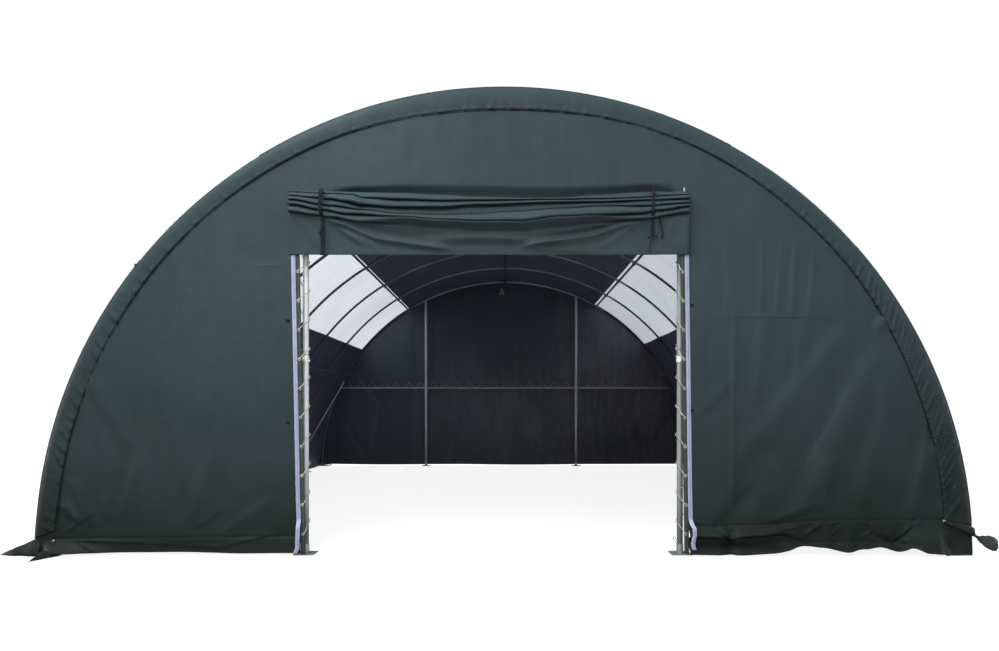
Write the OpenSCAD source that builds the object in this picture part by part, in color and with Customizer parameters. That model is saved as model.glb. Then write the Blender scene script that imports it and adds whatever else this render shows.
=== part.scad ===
// Fabric storage building: seven round tube arches under one laced and banded cover.
// +X is right seen from the door, +Y runs into the building, +Z is up, in millimetres.
// The origin is on the ground in the middle of the plan.

/* [Building] */
// Width over the cover, which is also twice its height
shelter_w = 9150; // [8800:50:9500]
// Length over the cover
shelter_l = 12200; // [11600:100:12800]
// Diameter of the arch tubes
arch_tube = 42; // [38:1:62]
// Diameter of the door posts
post_tube = 60; // [54:1:62]
// Diameter of the purlins and girts
purlin_tube = 42; // [36:1:44]
// Diameter of the wind brace tubes
brace_tube = 34; // [28:1:38]
// Thickness of the base plates
plate_t = 8; // [6:1:12]

/* [Doorway] */
// Sideways place of the doorway's middle
door_x = -110; // [-200:10:200]
// Distance between the two door posts, centre to centre
post_gap = 3700; // [3500:50:3900]
// Height of the doorway's top, where the zips end
door_top = 3560; // [3480:10:3600]
// Height of the lower edge of the hanging part of the rolled door
valance_low = 2930; // [2880:10:3000]
// Height of the horizontal girts
girt_z = 1920; // [1860:10:1980]
// Height between one lacing grommet and the next
lace_pitch = 284; // [280:1:286]

/* [Cover] */
// Thickness that the main cover is modelled with
cover_t = 10; // [8:1:12]
// Thickness that the end sheets are modelled with
panel_t = 8; // [6:1:10]
// Width of the band that wraps round onto each end
band_w = 210; // [170:10:250]
// Angle above the ground at which a skylight starts
sky_low = 39.9; // [38:0.1:42]
// Angle above the ground at which a skylight ends
sky_high = 60.2; // [59:0.1:62]
// How far round towards the left the cover is pulled, as an angle
cover_turn = 1.1; // [0:0.1:2]
// Width of the skirt that lies on the ground along each side
skirt_w = 120; // [80:10:180]

/* [Hidden] */
$fn = 32;
arc_fn = 360;

gap = 1;
bays = 6;
purlin_angles = [30, 60.4, 90, 121.8, 150];

// Radii about the building's long axis, from the cover inwards
cover_r = shelter_w / 2;
cover_in = cover_r - cover_t;
sky_edges = [sky_low, sky_high, 180 - sky_high, 180 - sky_low] + cover_turn * [1, 1, 1, 1];
arch_r = cover_in - gap - arch_tube / 2;
purlin_r = arch_r - arch_tube / 2 - gap - purlin_tube / 2;
brace_r = arch_r - arch_tube / 2 - gap - brace_tube / 2;

// Distances from the middle of the length to each end layer, from outside inwards
face_y = shelter_l / 2;
sheet_y = face_y - panel_t - gap;
arch_y = sheet_y - panel_t - gap - arch_tube / 2;
girt_y = arch_y - arch_tube / 2 - gap - purlin_tube / 2;
post_y = girt_y - purlin_tube / 2 - gap - post_tube / 2;
bay = 2 * arch_y / bays;

// Base plates of the arches, with their anchor holes
foot_size = 220;
foot_inset = 140;
hole_gap = 90;
hole_r = 7;
ear = [50, 5, 70];

// Door posts and their feet
post_xs = [door_x - post_gap / 2, door_x + post_gap / 2];
socket = [70, 90];
post_plate = [200, 220];
post_ring = [72, 60];
header_z = door_top + 60;

// Door edge layers, measured sideways from the doorway's middle
strip_in = post_gap / 2;
strip_w = 42;
zip_w = 42;
zip_t = 5;
grommet_side = strip_in + strip_w / 2;
grommet_r = 9;
first_grommet = 210;
grommets = 12;

// Rolled door
roll_half = 1930;
lobe_r = 50;
lobe_step = 80;
lobes = 4;
lobe_low = 3220;
hang_y = face_y - 2;
valance_t = 8;
strap_x = 1570;
strap_w = 30;
strap_t = 4;
strap_drop = 240;

// Ropes
rope_d = 10;
rope_sides = 6;
zigzag = 300;
zig_peak = 120;

// Sideways place and drop of the small pair of cord ends under the ridge
toggle_x = -110;
toggle_drop = [78, 268];

// Point on the circle of radius r at an angle above the ground on the right
function at_angle(r, a) = [r * cos(a), r * sin(a)];

// Smallest angle at which an arch stands on its base plate
foot_angle = asin((plate_t + gap / 4) / arch_r);

// Solid of revolution about the building's long axis, between two angles
module about_length(a0, a1) {
    rotate([90, 0, 0]) rotate([0, 0, a0]) rotate_extrude(angle = a1 - a0, $fn = arc_fn) children();
}

// Curved sheet between two radii, two places along Y and two angles
module curved_sheet(r_in, r_out, y0, y1, a0, a1) {
    about_length(a0, a1) translate([r_in, -y1]) square([r_out - r_in, y1 - y0]);
}

// Flat sheet that stands across the building, from its outline in X and Z
module upright_sheet(y0, y1) {
    translate([0, y1, 0]) rotate([90, 0, 0]) linear_extrude(y1 - y0) children();
}

// Round bar from one point to another
module bar(p, q, d) {
    v = q - p;
    long = norm(v);
    translate(p) rotate([0, acos(v[2] / long), atan2(v[1], v[0])]) cylinder(d = d, h = long);
}

// Outline of the end sheets inside the cover
module end_outline() {
    r = cover_in - gap;
    intersection() {
        circle(r, $fn = arc_fn);
        translate([-r, 0]) square([2 * r, r]);
    }
}

// One tube arch, half round, that stands on its two base plates
module arch(y) {
    color("silver") translate([0, y, 0])
        about_length(foot_angle, 180 - foot_angle) translate([arch_r, 0]) circle(d = arch_tube, $fn = 32);
}

// Base plate of one arch foot on the right, with two ears and four anchor holes.
// The end arches' plates lie inwards of their sheet: shift moves the plate along Y.
module foot_plate(shift) {
    edge = arch_r + arch_tube / 2;
    translate([edge - foot_size, shift - foot_size / 2, 0]) difference() {
        cube([foot_size, foot_size, plate_t]);
        for (dx = [-hole_gap / 2, hole_gap / 2], dy = [-hole_gap / 2, hole_gap / 2])
            translate([foot_size - foot_inset + dx, foot_size / 2 + dy, -gap])
                cylinder(r = hole_r, h = plate_t + 2 * gap);
    }
    for (s = [-1, 1])
        translate([arch_r - ear[0] / 2, s * (arch_tube / 2 + gap + ear[1] / 2) - ear[1] / 2, plate_t])
            cube(ear);
}

module side_foot_plates() {
    plate_in = foot_size / 2 - arch_tube / 2 - gap - ear[1];
    color("dimgray") for (i = [0 : bays]) {
        shift = i == 0 ? plate_in : i == bays ? -plate_in : 0;
        translate([0, -arch_y + i * bay, 0]) foot_plate(shift);
    }
}

module left_foot_plates() { mirror([1, 0, 0]) side_foot_plates(); }
module right_foot_plates() { side_foot_plates(); }

// Lengthwise tube under the arches at an angle above the ground on the right
module purlin(a) {
    p = at_angle(purlin_r, a);
    half = arch_y + arch_tube / 2;
    color("silver") translate([p[0], half, p[1]]) rotate([90, 0, 0])
        cylinder(d = purlin_tube, h = 2 * half);
}

// Bracket that holds a purlin up against an arch, with two flanges
module purlin_clamp() {
    strap = 4;
    inner = purlin_tube / 2 + gap / 2;
    flange = 30;
    rise = arch_r - arch_tube / 2 - gap / 2 - purlin_r;
    upright_sheet(-20, 20) difference() {
        union() {
            translate([-inner - strap, -inner - strap])
                square([2 * (inner + strap), inner + strap + rise]);
            translate([-inner - flange, rise - strap]) square([2 * (inner + flange), strap]);
        }
        translate([-inner, -inner]) square([2 * inner, inner + rise + gap]);
    }
}

module purlin_clamps() {
    color("gray") for (i = [0 : bays], a = purlin_angles) {
        p = at_angle(purlin_r, a);
        translate([p[0], -arch_y + i * bay, p[1]]) rotate([0, 90 - a, 0]) purlin_clamp();
    }
}

// Upright tube between the ground and an end arch, which ends beside the arch tube
module post(x, y) {
    top = sqrt(pow(arch_r, 2) - pow(abs(x) + post_tube / 2, 2)) - 10;
    color("gainsboro") translate([x, y, plate_t]) cylinder(d = post_tube, h = top - plate_t);
}

module front_post_left() { post(post_xs[0], -post_y); }
module front_post_right() { post(post_xs[1], -post_y); }
module back_posts() { for (x = post_xs) post(x, post_y); }

// Square plates and sockets that the four posts stand in
module post_feet() {
    color("silver") for (x = post_xs, y = [-post_y, post_y]) {
        translate([x - post_plate[0] / 2, y - post_plate[1] / 2, 0])
            cube([post_plate[0], post_plate[1], plate_t]);
        translate([x, y, plate_t]) difference() {
            cylinder(d = socket[0], h = socket[1]);
            translate([0, 0, -gap]) cylinder(d = post_tube + gap, h = socket[1] + 2 * gap);
        }
    }
}

// Ends of a level girt that stops at the arch, at height z
function girt_end(z) = sqrt(pow(arch_r, 2) - pow(z, 2));

module front_header() {
    end = girt_end(header_z);
    color("silver") bar([-end, -girt_y, header_z], [end, -girt_y, header_z], purlin_tube);
}

// Level tubes from the front arch to each door post, with a ring round the post
module front_side_girts() {
    end = girt_end(girt_z);
    color("silver") for (s = [-1, 1]) {
        x = door_x + s * post_gap / 2;
        bar([s * end, -girt_y, girt_z], [x, -girt_y, girt_z], purlin_tube);
        translate([x, -post_y, girt_z - post_ring[1] / 2]) difference() {
            cylinder(d = post_ring[0], h = post_ring[1]);
            translate([0, 0, -gap]) cylinder(d = post_tube + gap, h = post_ring[1] + 2 * gap);
        }
    }
}

module back_girt() {
    end = girt_end(girt_z);
    color("silver") bar([-end, girt_y, girt_z], [end, girt_y, girt_z], purlin_tube);
}

// Diagonal tubes in the two end bays, from the end arch down to the next one
module side_wind_braces() {
    high = 27.4;
    low = 6.4;
    p = at_angle(brace_r, high);
    q = at_angle(brace_r, low);
    color("silver") for (s = [-1, 1])
        bar([p[0], s * arch_y, p[1]], [q[0], s * (arch_y - bay), q[1]], brace_tube);
}

module left_wind_braces() { mirror([1, 0, 0]) side_wind_braces(); }
module right_wind_braces() { side_wind_braces(); }

// Part of the main cover between two angles above the ground on the right
module cover_part(a0, a1) {
    y = face_y - panel_t;
    curved_sheet(cover_in, cover_r, -y, y, a0, a1);
}

module cover_right_wall() { color("darkslategray") cover_part(0, sky_edges[0]); }
module right_skylight() { color("white") cover_part(sky_edges[0], sky_edges[1]); }
module cover_crown() { color("darkslategray") cover_part(sky_edges[1], sky_edges[2]); }
module left_skylight() { color("white") cover_part(sky_edges[2], sky_edges[3]); }
module cover_left_wall() { color("darkslategray") cover_part(sky_edges[3], 180); }

// Edge of the cover that wraps round onto an end
module band(y0) {
    color("darkslategray") curved_sheet(cover_r - band_w, cover_r, y0, y0 + panel_t, 0, 180);
}

module front_band() { band(-face_y); }
module back_band() { band(face_y - panel_t); }

// Front sheets beside and over the doorway
module front_sheet(x0, x1, z0) {
    color("darkslategray") upright_sheet(-sheet_y, -sheet_y + panel_t) intersection() {
        end_outline();
        translate([x0, z0]) square([x1 - x0, cover_r]);
    }
}

sheet_side = strip_in + strip_w + gap;
module front_panel_left() { front_sheet(-cover_r, door_x - sheet_side, 0); }
module front_panel_right() { front_sheet(door_x + sheet_side, cover_r, 0); }
module front_panel_head() {
    front_sheet(door_x - sheet_side + gap, door_x + sheet_side - gap, door_top);
}

module back_panel() {
    color("darkslategray") upright_sheet(sheet_y - panel_t, sheet_y) end_outline();
}

// Length of something that runs across the rolled door, from its outline in Y and Z
module across(x0, x1) {
    translate([x0, 0, 0]) rotate([90, 0, 90]) linear_extrude(x1 - x0) children();
}

// The door sheet folded up in lobes, with the flange that hangs from the head sheet
module door_roll() {
    color("darkslategray") across(door_x - roll_half, door_x + roll_half) {
        for (i = [0 : lobes - 1])
            translate([-hang_y - lobe_r, lobe_low + i * lobe_step]) circle(lobe_r);
        translate([-hang_y - lobe_r, lobe_low]) square([lobe_r, (lobes - 1) * lobe_step]);
        translate([-hang_y - panel_t, lobe_low]) square([panel_t, door_top + 60 - lobe_low]);
    }
}

// The lowest fold of the door sheet, which hangs flat under the roll
module door_valance() {
    color("darkslategray") across(door_x - roll_half, door_x + roll_half)
        translate([-hang_y - valance_t, valance_low])
            square([valance_t, lobe_low - lobe_r - gap - valance_low]);
}

// Two straps round the front and the underside of the roll, with hanging tails
module door_straps() {
    front = -hang_y - 2 * lobe_r - gap - strap_t;
    low = lobe_low - lobe_r - gap - strap_t;
    high = lobe_low + (lobes - 1) * lobe_step;
    tail_y = -hang_y - valance_t - gap - strap_t;
    color("black") for (s = [-1, 1])
        across(door_x + s * strap_x - strap_w / 2, door_x + s * strap_x + strap_w / 2) {
            translate([front, low]) square([strap_t, high - low]);
            translate([front, low]) square([tail_y + strap_t - front, strap_t]);
            translate([tail_y, low - strap_drop]) square([strap_t, strap_drop + strap_t]);
        }
}

// White zip tapes down both sides of the doorway
module door_zips() {
    y = -sheet_y - gap - zip_t;
    color("white") for (s = [-1, 1]) {
        x = door_x + s * (sheet_side + zip_w / 2 - gap);
        upright_sheet(y, y + zip_t) translate([x - zip_w / 2, 0]) square([zip_w, door_top]);
    }
}

// Dark strips with a row of grommets, inside the zips
module lacing_strips() {
    color("darkolivegreen") for (s = [-1, 1])
        upright_sheet(-sheet_y, -sheet_y + panel_t) difference() {
            translate([door_x + s * grommet_side - strip_w / 2, 0])
                square([strip_w, door_top - gap]);
            for (k = [0 : grommets - 1])
                translate([door_x + s * grommet_side, first_grommet + k * lace_pitch])
                    circle(grommet_r);
        }
}

function unit(v) = v / norm(v);

// Direction of a route at point i
function heading(route, i) =
    unit(route[min(i + 1, len(route) - 1)] - route[max(i - 1, 0)]);

// Ring of points about a route at point i
function rope_ring(route, i) =
    let (t = heading(route, i), side = unit(cross(t, [0, 0, 1])), up = cross(side, t))
    [for (k = [0 : rope_sides - 1])
        route[i] + rope_d / 2 * (cos(360 * k / rope_sides) * side + sin(360 * k / rope_sides) * up)];

// Rope swept along a route
module rope(route) {
    n = rope_sides;
    rings = len(route);
    skin = [for (i = [0 : rings - 2], k = [0 : n - 1], half = [0, 1])
        let (a = i * n + k, b = i * n + (k + 1) % n)
        half == 0 ? [a, b, b + n] : [a, b + n, a + n]];
    first = [for (k = [0 : n - 1]) n - 1 - k];
    last = [for (k = [0 : n - 1]) (rings - 1) * n + k];
    polyhedron([for (i = [0 : rings - 1]) each rope_ring(route, i)], concat(skin, [first, last]));
}

// One turn of the door lacing: sideways from the post towards the doorway, Y from the
// post towards the inside, and Z above the grommet that the turn starts at
door_turn = [
    [-21, -121, 0], [-14, -134, 8], [6, -132, 30], [26, -62, 84], [40, -12, 104],
    [30, 30, 124], [0, 43, 142], [-31, 30, 166], [-42, -14, 190], [-26, -102, 262]
];

// The rope at one side of the doorway, as a route from its lowest grommet up
function door_route(s) = [
    for (k = [0 : grommets - 2], p = door_turn)
        [door_x + s * (post_gap / 2 - p[0]), -post_y + p[1], first_grommet + k * lace_pitch + p[2]]
];

module front_lacing() {
    color("wheat") for (s = [-1, 1]) rope(door_route(s));
}

// One step of the back lacing along X, with Y from the girt towards the outside
back_turn = [
    [0, 48, zig_peak], [20, 44, zig_peak - 8], [118, -26, 20], [134, -29, -4],
    [148, -12, -28], [162, 16, -27], [176, 30, 2], [280, 44, zig_peak - 8]
];

module back_lacing() {
    steps = floor(2 * girt_end(girt_z + zig_peak) / zigzag) - 1;
    start = -steps * zigzag / 2;
    color("wheat") rope([
        for (k = [0 : steps - 1], p = back_turn)
            [start + k * zigzag + p[0], girt_y + p[1], girt_z + p[2]]
    ]);
}

// Loose hem of the cover on the ground along one side, with a tail at each corner
module side_ground_skirt(tail) {
    t = 6;
    tip_r = 30;
    reach = [cover_r + tail, face_y + 60];
    color("darkslategray") {
        translate([cover_r, -face_y, 0]) cube([skirt_w, 2 * face_y, t]);
        for (s = [-1, 1]) linear_extrude(t) {
            polygon([
                [cover_r, s * (face_y - 150)], [cover_r, s * face_y],
                [reach[0], s * (reach[1] + tip_r)], [reach[0] + 10, s * (reach[1] - tip_r)],
                [cover_r + skirt_w, s * (face_y - 150)]
            ]);
            translate([reach[0], s * reach[1]]) circle(tip_r);
        }
    }
}

module left_ground_skirt() { mirror([1, 0, 0]) side_ground_skirt(270); }
module right_ground_skirt() { side_ground_skirt(230); }

// Two short tied cord ends that hang under the ridge at the back
module ridge_toggle() {
    ridge_under = purlin_r - purlin_tube / 2;
    y = arch_y - 90;
    top = [toggle_x, y, ridge_under - toggle_drop[0]];
    color("lightgray") {
        translate([0, 0, ridge_under - toggle_drop[1]] + [toggle_x, y, 0])
            cylinder(r1 = 70, r2 = 8, h = toggle_drop[1] - toggle_drop[0]);
        bar(top - [0, 0, 4], [-6, y, ridge_under - 4], 8);
    }
}

module front_arch() { arch(-arch_y); }
module arch_2() { arch(-arch_y + bay); }
module arch_3() { arch(-arch_y + 2 * bay); }
module arch_4() { arch(-arch_y + 3 * bay); }
module arch_5() { arch(-arch_y + 4 * bay); }
module arch_6() { arch(-arch_y + 5 * bay); }
module back_arch() { arch(arch_y); }
module ridge_purlin() { purlin(purlin_angles[2]); }
module left_upper_purlin() { purlin(purlin_angles[3]); }
module right_upper_purlin() { purlin(purlin_angles[1]); }
module left_lower_purlin() { purlin(purlin_angles[4]); }
module right_lower_purlin() { purlin(purlin_angles[0]); }

front_arch();
arch_2();
arch_3();
arch_4();
arch_5();
arch_6();
back_arch();
left_foot_plates();
right_foot_plates();
ridge_purlin();
left_upper_purlin();
right_upper_purlin();
left_lower_purlin();
right_lower_purlin();
purlin_clamps();
front_post_left();
front_post_right();
back_posts();
post_feet();
front_header();
front_side_girts();
back_girt();
left_wind_braces();
right_wind_braces();
cover_left_wall();
left_skylight();
cover_crown();
right_skylight();
cover_right_wall();
front_band();
back_band();
front_panel_left();
front_panel_right();
front_panel_head();
back_panel();
door_roll();
door_valance();
door_straps();
door_zips();
lacing_strips();
front_lacing();
back_lacing();
left_ground_skirt();
right_ground_skirt();
ridge_toggle();
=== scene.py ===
import bisect
import math

import bmesh
import bpy
from mathutils import Matrix, Vector, noise


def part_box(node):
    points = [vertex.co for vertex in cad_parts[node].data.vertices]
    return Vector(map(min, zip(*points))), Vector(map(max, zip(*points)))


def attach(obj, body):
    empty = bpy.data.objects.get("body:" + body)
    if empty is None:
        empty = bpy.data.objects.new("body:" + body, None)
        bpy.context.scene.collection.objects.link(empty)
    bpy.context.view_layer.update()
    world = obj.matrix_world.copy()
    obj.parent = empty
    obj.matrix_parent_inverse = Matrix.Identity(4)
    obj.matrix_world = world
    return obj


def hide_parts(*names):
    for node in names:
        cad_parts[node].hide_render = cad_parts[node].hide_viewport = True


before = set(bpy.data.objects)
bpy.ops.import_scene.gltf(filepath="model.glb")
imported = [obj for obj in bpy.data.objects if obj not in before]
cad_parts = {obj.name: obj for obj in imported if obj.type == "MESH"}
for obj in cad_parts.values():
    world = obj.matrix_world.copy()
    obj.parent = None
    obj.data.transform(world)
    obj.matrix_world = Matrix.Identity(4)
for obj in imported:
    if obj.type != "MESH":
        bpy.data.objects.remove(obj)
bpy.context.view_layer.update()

# The laced fabric storage building: seven round tube arches under one banded cover.
# +X is right seen from the door, +Y runs into the building, +Z is up, in metres.


# ---------------------------------------------------------------- sizes from the frame

def low(part):
    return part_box(part)[0]


def high(part):
    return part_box(part)[1]


def middle(part):
    return (low(part) + high(part)) / 2


ARCHES = ["front_arch", "arch_2", "arch_3", "arch_4", "arch_5", "arch_6", "back_arch"]
ARCH_YS = [middle(name).y for name in ARCHES]
BAY = ARCH_YS[1] - ARCH_YS[0]
TUBE_R = (high("arch_4").y - low("arch_4").y) / 2
ARCH_R = high("arch_4").z - TUBE_R
COVER_R = high("cover_crown").z
FACE_Y = -low("front_band").y
SHEET_Y = -low("front_panel_head").y
SHEET_R = high("back_panel").z
RIGHT_LOW = math.acos(high("right_skylight").x / COVER_R)
RIGHT_HIGH = math.asin(high("right_skylight").z / COVER_R)
LEFT_HIGH = math.pi - math.asin(high("left_skylight").z / COVER_R) + 0.006
LEFT_LOW = math.pi - math.acos(-low("left_skylight").x / COVER_R)
DOOR_X = middle("lacing_strips").x
DOOR_TOP = high("door_zips").z
POST_X = [middle("front_post_left").x, middle("front_post_right").x]
POST_Y = middle("front_post_left").y
POST_GAP = POST_X[1] - POST_X[0]
GIRT_Z = middle("back_girt").z
GIRT_Y = middle("back_girt").y
ROLL_HALF = (high("door_roll").x - low("door_roll").x) / 2
ROLL_BACK = -high("door_roll").y
ROLL_FRONT = -low("door_roll").y
VALANCE_LOW = low("door_valance").z
# The head of the front sheet goes on down behind the roll to this height
HEAD_LOW = DOOR_TOP - 0.11


# ---------------------------------------------------------------- small helpers

def ease(t):
    """A smooth step from 0 to 1."""
    t = min(max(t, 0.0), 1.0)
    return t * t * (3 - 2 * t)


def between(t, start, end):
    return start + (end - start) * t


def ripple(*place):
    """Smooth noise from -1 to 1 at a place given by up to three numbers."""
    return noise.noise(Vector((list(place) + [0.37, 0.71])[:3]))


def along_points(points, x):
    """Height at x of a smooth line through a few (x, height) points."""
    if x <= points[0][0]:
        return points[0][1]
    for (x0, z0), (x1, z1) in zip(points, points[1:]):
        if x <= x1:
            return between(ease((x - x0) / (x1 - x0)), z0, z1)
    return points[-1][1]


def stretched(t, knots):
    """The value at a share t along straight pieces between a few (share, value) knots."""
    for (t0, a), (t1, b) in zip(knots, knots[1:]):
        if t <= t1:
            return between((t - t0) / (t1 - t0), a, b)
    return knots[-1][1]


def fold(x, z, start, end, half, height):
    """Height at (x, z) of one fold from start to end, with a crisp crest, which fades out at
    both ends and is steeper on one side."""
    dx, dz = end[0] - start[0], end[1] - start[1]
    share = ((x - start[0]) * dx + (z - start[1]) * dz) / (dx * dx + dz * dz)
    if share < -0.2 or share > 1.2:
        return 0.0
    off = ((x - start[0]) * dz - (z - start[1]) * dx) / math.hypot(dx, dz) / half
    off += 0.35 * ripple(x * 2.1, z * 2.1, 6.0)
    off *= 1.4 if off > 0 else 0.8
    crisp = between(ease((half - 0.03) / 0.06), 1.4, 2.0)
    crest = math.exp(-(abs(off) ** crisp)) - 0.25 * math.exp(-((off - 1.9) ** 2))
    return height * ease((share + 0.2) / 0.4) * ease((1.2 - share) / 0.4) * crest


def smooth_route(points, steps):
    """Points of a smooth curve through the given ones."""
    route = []
    last = len(points) - 1
    for i in range(last):
        p0, p1 = points[max(i - 1, 0)], points[i]
        p2, p3 = points[i + 1], points[min(i + 2, last)]
        for k in range(steps):
            t = k / steps
            route.append(0.5 * (2 * p1 + (p2 - p0) * t + (2 * p0 - 5 * p1 + 4 * p2 - p3) * t * t
                                + (3 * p1 - p0 - 3 * p2 + p3) * t ** 3))
    return route + [points[-1]]


def point_along(points, share):
    """The point at a share along a line of points that lie at even steps."""
    at = share * (len(points) - 1)
    i = min(int(at), len(points) - 2)
    return points[i].lerp(points[i + 1], at - i)


def new_object(name, data):
    """A new object in the scene that holds a mesh, a curve, a camera or a light."""
    made = bpy.data.objects.new(name, data)
    bpy.context.scene.collection.objects.link(made)
    return made


# ---------------------------------------------------------------- node helpers

def feed(tree, made, inputs):
    """Sets a node's inputs, by name or place, to plain values, or links them to outputs."""
    for label, value in inputs.items():
        if isinstance(value, (int, float, tuple)):
            made.inputs[label].default_value = value
        else:
            tree.links.new(value, made.inputs[label])
    return made


def new_node(tree, kind, inputs=None):
    return feed(tree, tree.nodes.new("ShaderNode" + kind), inputs or {})


def math_node(tree, operation, *values):
    """A Math node fed by outputs or plain numbers."""
    made = new_node(tree, "Math", dict(enumerate(values)))
    made.operation = operation
    return made.outputs[0]


def axes(tree, vector):
    """The X, Y and Z of a vector."""
    return new_node(tree, "SeparateXYZ", {0: vector}).outputs


def scaled(tree, vector, scale):
    """The vector with each axis stretched, so that a pattern runs long or short along it."""
    return new_node(tree, "Mapping", {"Vector": vector, "Scale": scale}).outputs[0]


def cloud(tree, vector, scale, detail, rough):
    """A noise mask from 0 to 1."""
    return new_node(tree, "TexNoise", {"Vector": vector, "Scale": scale, "Detail": detail,
                                       "Roughness": rough}).outputs["Fac"]


def ranged(tree, value, from_low, from_high, to_low, to_high):
    """The value carried over from one range to another, and held at that range's ends."""
    return new_node(tree, "MapRange", {"Value": value, "From Min": from_low, "From Max": from_high,
                                       "To Min": to_low, "To Max": to_high}).outputs[0]


def blended(tree, mask, first, second):
    """A colour that goes from the first to the second with the mask."""
    made = new_node(tree, "Mix")
    made.data_type = "RGBA"
    colours = [socket for socket in made.inputs if socket.type == "RGBA"]
    tree.links.new(mask, made.inputs["Factor"])
    for socket, value in zip(colours, (first, second)):
        if isinstance(value, tuple):
            socket.default_value = value
        else:
            tree.links.new(value, socket)
    return [socket for socket in made.outputs if socket.type == "RGBA"][0]


def shader_mix(tree, share, first, second):
    """A shader that goes from the first to the second with the share, a number or a mask."""
    return new_node(tree, "MixShader", {"Fac": share, 1: first, 2: second}).outputs[0]


def threads(tree, vector, axis, pitch):
    """Rounded threads across one axis of the cloth's own map, from 0 to 1."""
    turn = math_node(tree, "MULTIPLY", axes(tree, vector)[axis], 2 * math.pi / pitch)
    return math_node(tree, "MULTIPLY_ADD", math_node(tree, "SINE", turn), 0.5, 0.5)


# ---------------------------------------------------------------- camera, floor and light

def place_camera():
    data = bpy.data.cameras.new("doorway_view")
    data.sensor_width = 36
    data.lens = 29.08
    data.shift_x = -0.0070
    data.shift_y = 0.0816
    data.clip_end = 500
    camera = new_object("doorway_view", data)
    camera.location = (0.025, -13.95, 1.449)
    camera.rotation_euler = (math.pi / 2, 0, 0)
    bpy.context.scene.camera = camera


def seen_directly(tree):
    """1 for rays from the camera and for those in metal or through cloth, 0 for the light itself."""
    path = new_node(tree, "LightPath").outputs
    straight = math_node(tree, "MAXIMUM", path["Is Camera Ray"], path["Is Glossy Ray"])
    return math_node(tree, "MAXIMUM", straight, path["Is Transmission Ray"])


def lay_floor():
    """A pale floor with the building's shadow, which throws as little light up as grass does."""
    mesh = bmesh.new()
    bmesh.ops.create_grid(mesh, x_segments=1, y_segments=1, size=150)
    bmesh.ops.translate(mesh, vec=(0, 0, -0.001), verts=mesh.verts)
    material = bpy.data.materials.new("pale_floor")
    material.use_nodes = True
    tree = material.node_tree
    tree.nodes.clear()
    dim = new_node(tree, "BsdfDiffuse", {"Color": (0.060, 0.066, 0.050, 1)}).outputs[0]
    lit = new_node(tree, "BsdfDiffuse", {"Color": (0.9, 0.9, 0.9, 1)}).outputs[0]
    glow = new_node(tree, "Emission", {"Color": (1, 1, 1, 1), "Strength": 1.2}).outputs[0]
    pale = shader_mix(tree, 0.72, lit, glow)
    new_node(tree, "OutputMaterial", {"Surface": shader_mix(tree, seen_directly(tree), dim, pale)})
    finish_mesh("pale_floor", mesh, material)


def panel(name, place, target, size, power):
    """A square soft light at a place, turned to its target, which the camera doesn't see."""
    data = bpy.data.lights.new(name, "AREA")
    data.shape = "SQUARE"
    data.size = size
    data.energy = power
    lamp = new_object(name, data)
    lamp.location = place
    lamp.visible_camera = False
    lamp.rotation_euler = (Vector(target) - Vector(place)).to_track_quat("-Z", "Y").to_euler()


def light_studio():
    """A white background that lights nothing, a soft cool sky, and panels round the building."""
    scene = bpy.context.scene
    scene.view_settings.view_transform = "Standard"
    scene.world = bpy.data.worlds.new("studio")
    scene.world.use_nodes = True
    tree = scene.world.node_tree
    tree.nodes.clear()
    white = new_node(tree, "Background", {"Color": (1, 1, 1, 1), "Strength": 1.0}).outputs[0]
    haze = new_node(tree, "Background", {"Color": (1.0, 0.98, 0.94, 1), "Strength": 0.10}).outputs[0]
    zenith = new_node(tree, "Background", {"Color": (0.70, 0.88, 1.0, 1), "Strength": 2.0}).outputs[0]
    height = axes(tree, new_node(tree, "TexCoord").outputs["Generated"])["Z"]
    sky = shader_mix(tree, ranged(tree, height, 0.0, 0.9, 0.0, 1.0), haze, zenith)
    new_node(tree, "OutputWorld", {"Surface": shader_mix(tree, seen_directly(tree), sky, white)})
    panel("key_panel", (-6.0, -9.6, 10.8), (-0.5, -6.0, 4.0), 3.0, 700)
    panel("high_panel", (-2.6, -13.0, 9.0), (-0.6, -6.0, 2.6), 3.0, 590)
    panel("fill_panel", (1.6, -18.0, 3.2), (0.0, 0.0, 1.5), 5.0, 320)
    panel("far_panel", (-4.0, 15.0, 4.5), (0.0, 6.0, 1.8), 5.0, 1600)
    for side, word, power in ((-1, "left", 420), (1, "right", 270)):
        panel(word + "_panel", (side * 13.0, -5.4, 1.9), (side * 4.5, 1.0, 1.4), 3.0, power)


# ---------------------------------------------------------------- shader groups

SURFACE = {"Colour": "Color", "Roughness": "Float", "Height": "Float"}
THREAD_PITCH = 0.004


def new_group(name, inputs, outputs):
    """An empty shader group with its named sockets, its given values, and its output node."""
    group = bpy.data.node_groups.new(name, "ShaderNodeTree")
    for way, sockets in (("INPUT", inputs), ("OUTPUT", outputs)):
        for label, kind in sockets.items():
            group.interface.new_socket(label, in_out=way, socket_type="NodeSocket" + kind)
    return group, group.nodes.new("NodeGroupInput").outputs, group.nodes.new("NodeGroupOutput")


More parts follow.
